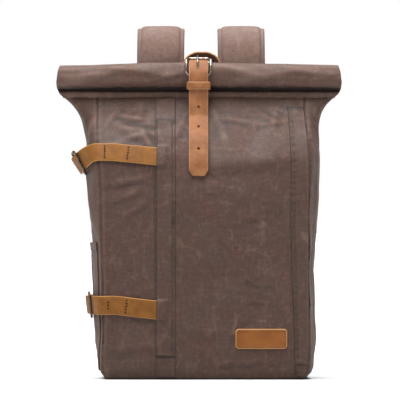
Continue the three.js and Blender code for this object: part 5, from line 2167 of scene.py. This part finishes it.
@dataclass
class ShoulderStrap:
    """A padded strap from behind the roll down to its slider, edged with a folded binding, and its webbing."""

    side: Side
    top: float = 0.4905
    reach: float = 0.062
    pad_width: float = 0.0640
    pad_thickness: float = 0.012
    spacing: float = 0.114
    shift: float = 2.8 * MM
    binding: float = 9.4 * MM
    creases: int = 14
    webbing: float = 25 * MM
    rows: Profile = field(
        default_factory=lambda: Profile(
            "row depth height spread width thickness",
            [
                (0, -0.03, 0.665, 1.00, 1.00, 0.62), (1, 0.00, 0.740, 1.00, 1.00, 0.9),
                (2, 0.03, 0.820, 1.00, 1.02, 1), (3, 0.10, 0.900, 0.99, 1.03, 1),
                (4, 0.28, 0.960, 0.985, 1.03, 1), (5, 0.52, 0.9875, 0.98, 1.03, 1),
                (6, 0.76, 0.960, 0.99, 1.03, 1), (7, 0.90, 0.890, 1.01, 1.02, 1),
                (8, 0.93, 0.780, 1.05, 1.02, 1), (9, 0.84, 0.640, 1.12, 1.00, 1),
                (10, 0.66, 0.500, 1.24, 0.96, 1), (11, 0.48, 0.370, 1.42, 0.88, 0.95),
                (12, 0.36, 0.260, 1.62, 0.74, 0.8),
            ],
        )
    )

    def frames(self, count: int) -> tuple[Array, Array, Array, Array, Line]:
        """Lays the strap's line.

        Args:
            count: how many places to read along it.

        Returns:
            The places with their width and outward axes, the row number at each, and the line.
        """
        at, sign = self.rows.columns, self.side.value
        z = at["height"] * self.top
        y = BAG.depth / 2 + self.reach * at["depth"]
        y[0] = BAG.back_plane(z[:1] / BAG.neck)[0] + 0.3 * MM + self.pad_thickness * at["thickness"][0] / 2
        points = np.stack([self.shift + sign * at["spread"] * self.spacing / 2, y, z], axis=1)
        line = Line(points)
        along = np.linspace(0, line.length, count)
        row = np.interp(along, [line.nearest(point) for point in points], np.arange(len(z)))
        tangent = line.tangent(along)
        width = square_to(level_width(along), tangent)
        return line.at(along), width, np.cross(width, tangent), row, line

    def build(self, dressing: Dressing, stitches: StitchRun) -> None:
        """Makes the pad, its bindings, the slider and the webbing.

        Args:
            dressing: takes the pieces.
            stitches: takes its stitch lines.
        """
        name = self.side.name.lower()
        places, width, normal, row, line = self.frames(200)
        pad = self.pad_width * self.rows.at("width", row)
        thick = self.pad_thickness * self.rows.at("thickness", row)
        ease_end = ease(np.minimum(row + 0.15, 12.05 - row) / 0.5)
        body = padded_section(1.0, 1.0, 56, 4.2)
        section = np.empty((200, 56, 2))
        section[..., 0] = body[None, :, 0] * (pad - 1.15 * self.binding)[:, None]
        section[..., 1] = body[None, :, 1] * (thick * (0.6 + 0.4 * ease_end))[:, None]
        s = np.linspace(0, line.length, 200)[:, None]
        draw = np.random.default_rng(SEED + 10 + self.side.value)
        crease = np.zeros_like(section[..., 0])
        for _ in range(self.creases):
            centre, slant = draw.uniform(0.03, line.length - 0.03), draw.uniform(-0.9, 0.9)
            depth, reach = draw.uniform(0.35, 0.95) * MM, draw.uniform(3, 6) * MM
            crease -= depth * bump(s - centre - slant * section[..., 0], reach)
        section[..., 1] += crease * np.sign(body[None, :, 1]) * np.clip(np.abs(body[None, :, 1]) * 4, 0, 1)
        plain = even_paint(wear=0.0, deep=0.0)
        obj = swept_object(f"{name}_strap_pad", places, width, normal, section, plain)
        dressing.finish(obj, LIT_PAD_CANVAS, f"{name}_shoulder_strap", f"{name}_shoulder_strap")
        for edge in (-1, 1):
            middle = places + width * (edge * (pad / 2 - self.binding / 2))[:, None]
            fold = padded_section(self.binding, 5.2 * MM, 28, 3.0)
            wave = 1 + 0.05 * np.sin(s / (7 * MM) + edge)
            trim = np.stack([np.broadcast_to(fold[None, :, 0], (200, 28)), fold[None, :, 1] * wave], axis=-1)
            side_name = "outer" if edge == self.side.value else "inner"
            rubbed = even_paint(wear=0.5, deep=0.0)
            obj = swept_object(f"{name}_binding_{side_name}", middle, width, normal, trim, rubbed)
            dressing.finish(obj, PALE_CANVAS, f"{name}_shoulder_strap")
            inner = places + width * (edge * (pad / 2 - self.binding + 1.8 * MM))[:, None]
            for face in (-1, 1):
                stitches.along(inner[3:-3] + face * normal[3:-3] * 2.75 * MM, face * normal[3:-3])
        self.build_webbing(dressing, stitches, places[-1], width[-1], normal[-1], line.tangent(line.length))

    def build_webbing(
        self, dressing: Dressing, stitches: StitchRun, end: Array, width: Array, normal: Array, down: Array
    ) -> None:
        """Makes the slider at the pad's end and the webbing from it to the bag's lower corner.

        Args:
            dressing: takes the pieces.
            stitches: takes the lines that sew the webbing to the bag.
            end: the pad's end.
            width: the width axis there.
            normal: the outward axis there.
            down: the direction in which the pad ends.
        """
        name, gap = self.side.name.lower(), 0.3 * MM
        length = 26 * MM
        half = self.webbing / 2 + 2.2 * MM
        corners = np.array([(-half, 2.0), (half, 2.0), (half, 24.0), (-half, 24.0)]) * np.array([1, MM])
        loop = end + down * (gap + corners[:, 1:]) + width * corners[:, :1]
        frame_bar = metal_bar(f"{name}_slider_frame", rounded_loop(loop, 3 * MM), 3.4 * MM)
        bar = end + down * (gap + length / 2) + width * half * np.linspace(-1, 1, 12)[:, None]
        down_axis, normal_axis = np.tile(down, (12, 1)), np.tile(normal, (12, 1))
        middle_section = padded_section(5 * MM, 2.6 * MM, 20, 2.4)
        middle_bar = swept_object(f"{name}_slider_bar", bar, down_axis, normal_axis, middle_section)
        dressing.finish(frame_bar, NICKEL, f"{name}_slider", f"{name}_slider")
        dressing.finish(middle_bar, NICKEL, f"{name}_slider")
        start = end + down * (gap + 4 * MM)
        anchor = self.side.value * BAG.width * 0.405
        out = BAG.depth / 2 + 1.9 * MM
        points = np.array([
            start + normal * 0.5 * MM,
            end + down * (gap + length * 0.5) + normal * 2.6 * MM,
            end + down * (gap + length + 3 * MM),
            [mix(start[0], anchor, 0.55), BAG.depth * 0.59, start[2] * 0.50],
            [anchor, BAG.depth * 0.525, BAG.neck * 0.087],
            [anchor, out, BAG.neck * 0.057],
            [anchor, out, BAG.neck * 0.031],
        ])
        line = Line(points)
        along = np.linspace(0, line.length, 120)
        tangent = line.tangent(along)
        across = square_to(level_width(along), tangent)
        out_axis = np.cross(across, tangent)
        section = strap_section(self.webbing, 1.8 * MM, 13)
        section[:, 1] -= 0.9 * MM
        # Even values over the whole webbing: a quarter of wear and a quarter of the painted-shade darkening.
        used = even_paint(wear=0.25, deep=0.25)
        obj = swept_object(f"{name}_strap_webbing", line.at(along), across, out_axis, section, used)
        dressing.finish(obj, WEBBING, f"{name}_webbing", f"{name}_webbing")
        tail = along[-1] - np.linspace(0.001, 0.014, 20)
        for offset in (-9 * MM, 0.0, 9 * MM):
            shift = np.array([offset, 0.0, 0.0])
            places = line.at(tail) + shift + np.array([0, 1.1 * MM, 0])
            stitches.along(places, np.tile([0.0, 1.0, 0.0], (20, 1)))


def straight_strip(low: float, high: float, left: float, right: float) -> Profile:
    """The table of a strip with upright edges, given as shares of the neck's height and the bag's width."""
    return Profile("height left right", [(h, left, right) for h in (low, (low + high) / 2, high)])


STRIPS = (
    FrontStrip(
        "left_strip_cloth", "left_strip",
        straight_strip(0.012, 0.995, -0.203, -0.107),
        0.4 * MM, 1.5 * MM, (0.07, 0.955),
        shaded=((0.3540, 2.8 * MM), (0.0312, 1.5 * MM)),
    ),
    FrontStrip(
        "left_band_cloth", "left_band",
        straight_strip(0.085, 0.907, -0.193, -0.120),
        2.0 * MM, 1.5 * MM, (0.93,),
        openings=((0.3525, 2.2 * MM, 4 * MM),),
        tucked=((0.3045, 13 * MM), (0.0955, 13 * MM)),
    ),
    FrontStrip(
        "right_band_cloth", "right_band",
        Profile(
            "height left right",
            [
                (0.014, 0.438, 0.488), (0.13, 0.4355, 0.501), (0.56, 0.418, 0.5015), (0.76, 0.420, 0.5015),
                (0.965, 0.407, 0.482),
            ],
        ),
        0.4 * MM, 1.6 * MM, (0.09, 0.22),
        openings=((0.3745, 1.6 * MM, 4 * MM), (0.0235, 0.9 * MM, 4 * MM)),
        shaded=((0.3728, 1.6 * MM), (0.0205, 1.3 * MM)),
    ),
)
BAND_TACK = BarTack(x=-0.0345, z=0.2180, width=9 * MM, lift=3.6 * MM, upright=True)


# The picture


@dataclass
class Studio:
    """A white floor and backdrop under a broad soft light, and the camera in front."""

    distance: float = 7.0
    eye: float = 0.2465
    frame_width: float = 0.5535
    overhead: float = 8.5
    zenith: float = 0.15
    paper: str = "#c4c4c4"

    def build(self) -> None:
        """Adds the floor, the lights, the white surroundings and the camera."""
        scene = bpy.context.scene
        mesh = bpy.data.meshes.new("floor")
        mesh.from_pydata([(-30, -30, 0), (30, -30, 0), (30, 30, 0), (-30, 30, 0)], [], [(0, 1, 2, 3)])
        floor = bpy.data.objects.new("floor", mesh)
        scene.collection.objects.link(floor)
        material, tree, shader = new_tree("paper")
        feed(tree, shader, {"Base Color": srgb(self.paper), "Roughness": 1.0, "Specular IOR Level": 0.0})
        mesh.materials.append(material)
        self.lamp("key", (-0.5, -1.3, 1.7), (0, 0, 0.3), 0.7, 5)
        self.sky()
        camera = bpy.data.objects.new("camera", bpy.data.cameras.new("camera"))
        camera.data.sensor_width = 36
        camera.data.lens = camera.data.sensor_width * self.distance / self.frame_width
        camera.data.clip_end = 200
        camera.location = (0.0014, -self.distance, self.eye)
        camera.rotation_euler = (math.pi / 2, 0, 0)
        scene.collection.objects.link(camera)
        scene.camera = camera
        scene.view_settings.view_transform = "Standard"
        scene.view_settings.look = "None"

    def sky(self) -> None:
        """Adds a broad overhead light, leaning to the front, and a world that is white at the horizon only."""
        scene = bpy.context.scene
        sun = bpy.data.lights.new("ceiling", "SUN")
        sun.energy = self.overhead
        sun.angle = math.radians(62)
        ceiling = bpy.data.objects.new("ceiling", sun)
        ceiling.rotation_euler = (math.radians(6), math.radians(-5), 0)
        scene.collection.objects.link(ceiling)
        world = bpy.data.worlds.new("surroundings")
        scene.world = world
        world.use_nodes = True
        tree = world.node_tree
        direction = add_node(tree, "ShaderNodeTexCoord")
        axes = add_node(tree, "ShaderNodeSeparateXYZ", links={0: direction.outputs["Generated"]})
        strength = ramp(tree, calculate(tree, "ABSOLUTE", axes.outputs[2]), 0.06, 0.2, 1.0, self.zenith)
        feed(tree, tree.nodes["Background"], {"Color": (1, 1, 1, 1), "Strength": strength})

    def lamp(self, name: str, place_at: tuple, target: tuple, size: float, power: float) -> None:
        """Adds a square soft light at a place, turned to a target.

        Args:
            name: the light's name.
            place_at: where it stands.
            target: where it looks.
            size: its side.
            power: its strength in watts.
        """
        light = bpy.data.lights.new(name, "AREA")
        light.size = size
        light.energy = power
        lamp = bpy.data.objects.new(name, light)
        lamp.location = place_at
        away = np.array(place_at) - np.array(target)
        flat = math.hypot(away[0], away[1])
        lamp.rotation_euler = (math.atan2(flat, away[2]), 0, math.atan2(away[0], -away[1]))
        bpy.context.scene.collection.objects.link(lamp)


def main() -> None:
    """Builds the bag's sub-assemblies in order, then the studio."""
    logging.basicConfig(level=logging.INFO, format="%(message)s")
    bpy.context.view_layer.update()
    dressing = Dressing()
    stitches = StitchRun()
    Shell().build(dressing)
    BackPanel().build(dressing, stitches)
    BasePanel().build(dressing)
    ROLL.build(dressing)
    for strip in STRIPS:
        strip.build(dressing, stitches)
    BAND_TACK.build(stitches)
    GussetPocket().build(dressing, stitches)
    Label().build(dressing, stitches)
    Closure().build(dressing)
    for row in SIDE_STRAPS:
        SideStrap(row).build(dressing)
    GrabHandle().build(dressing, stitches)
    for side in Side:
        ShoulderStrap(side).build(dressing, stitches)
    dressing.finish(stitches.build("stitching"), THREAD, "front_panel")
    Studio().build()
    LOG.info("pieces made: %d", dressing.count)


if __name__ == "__main__":
    main()
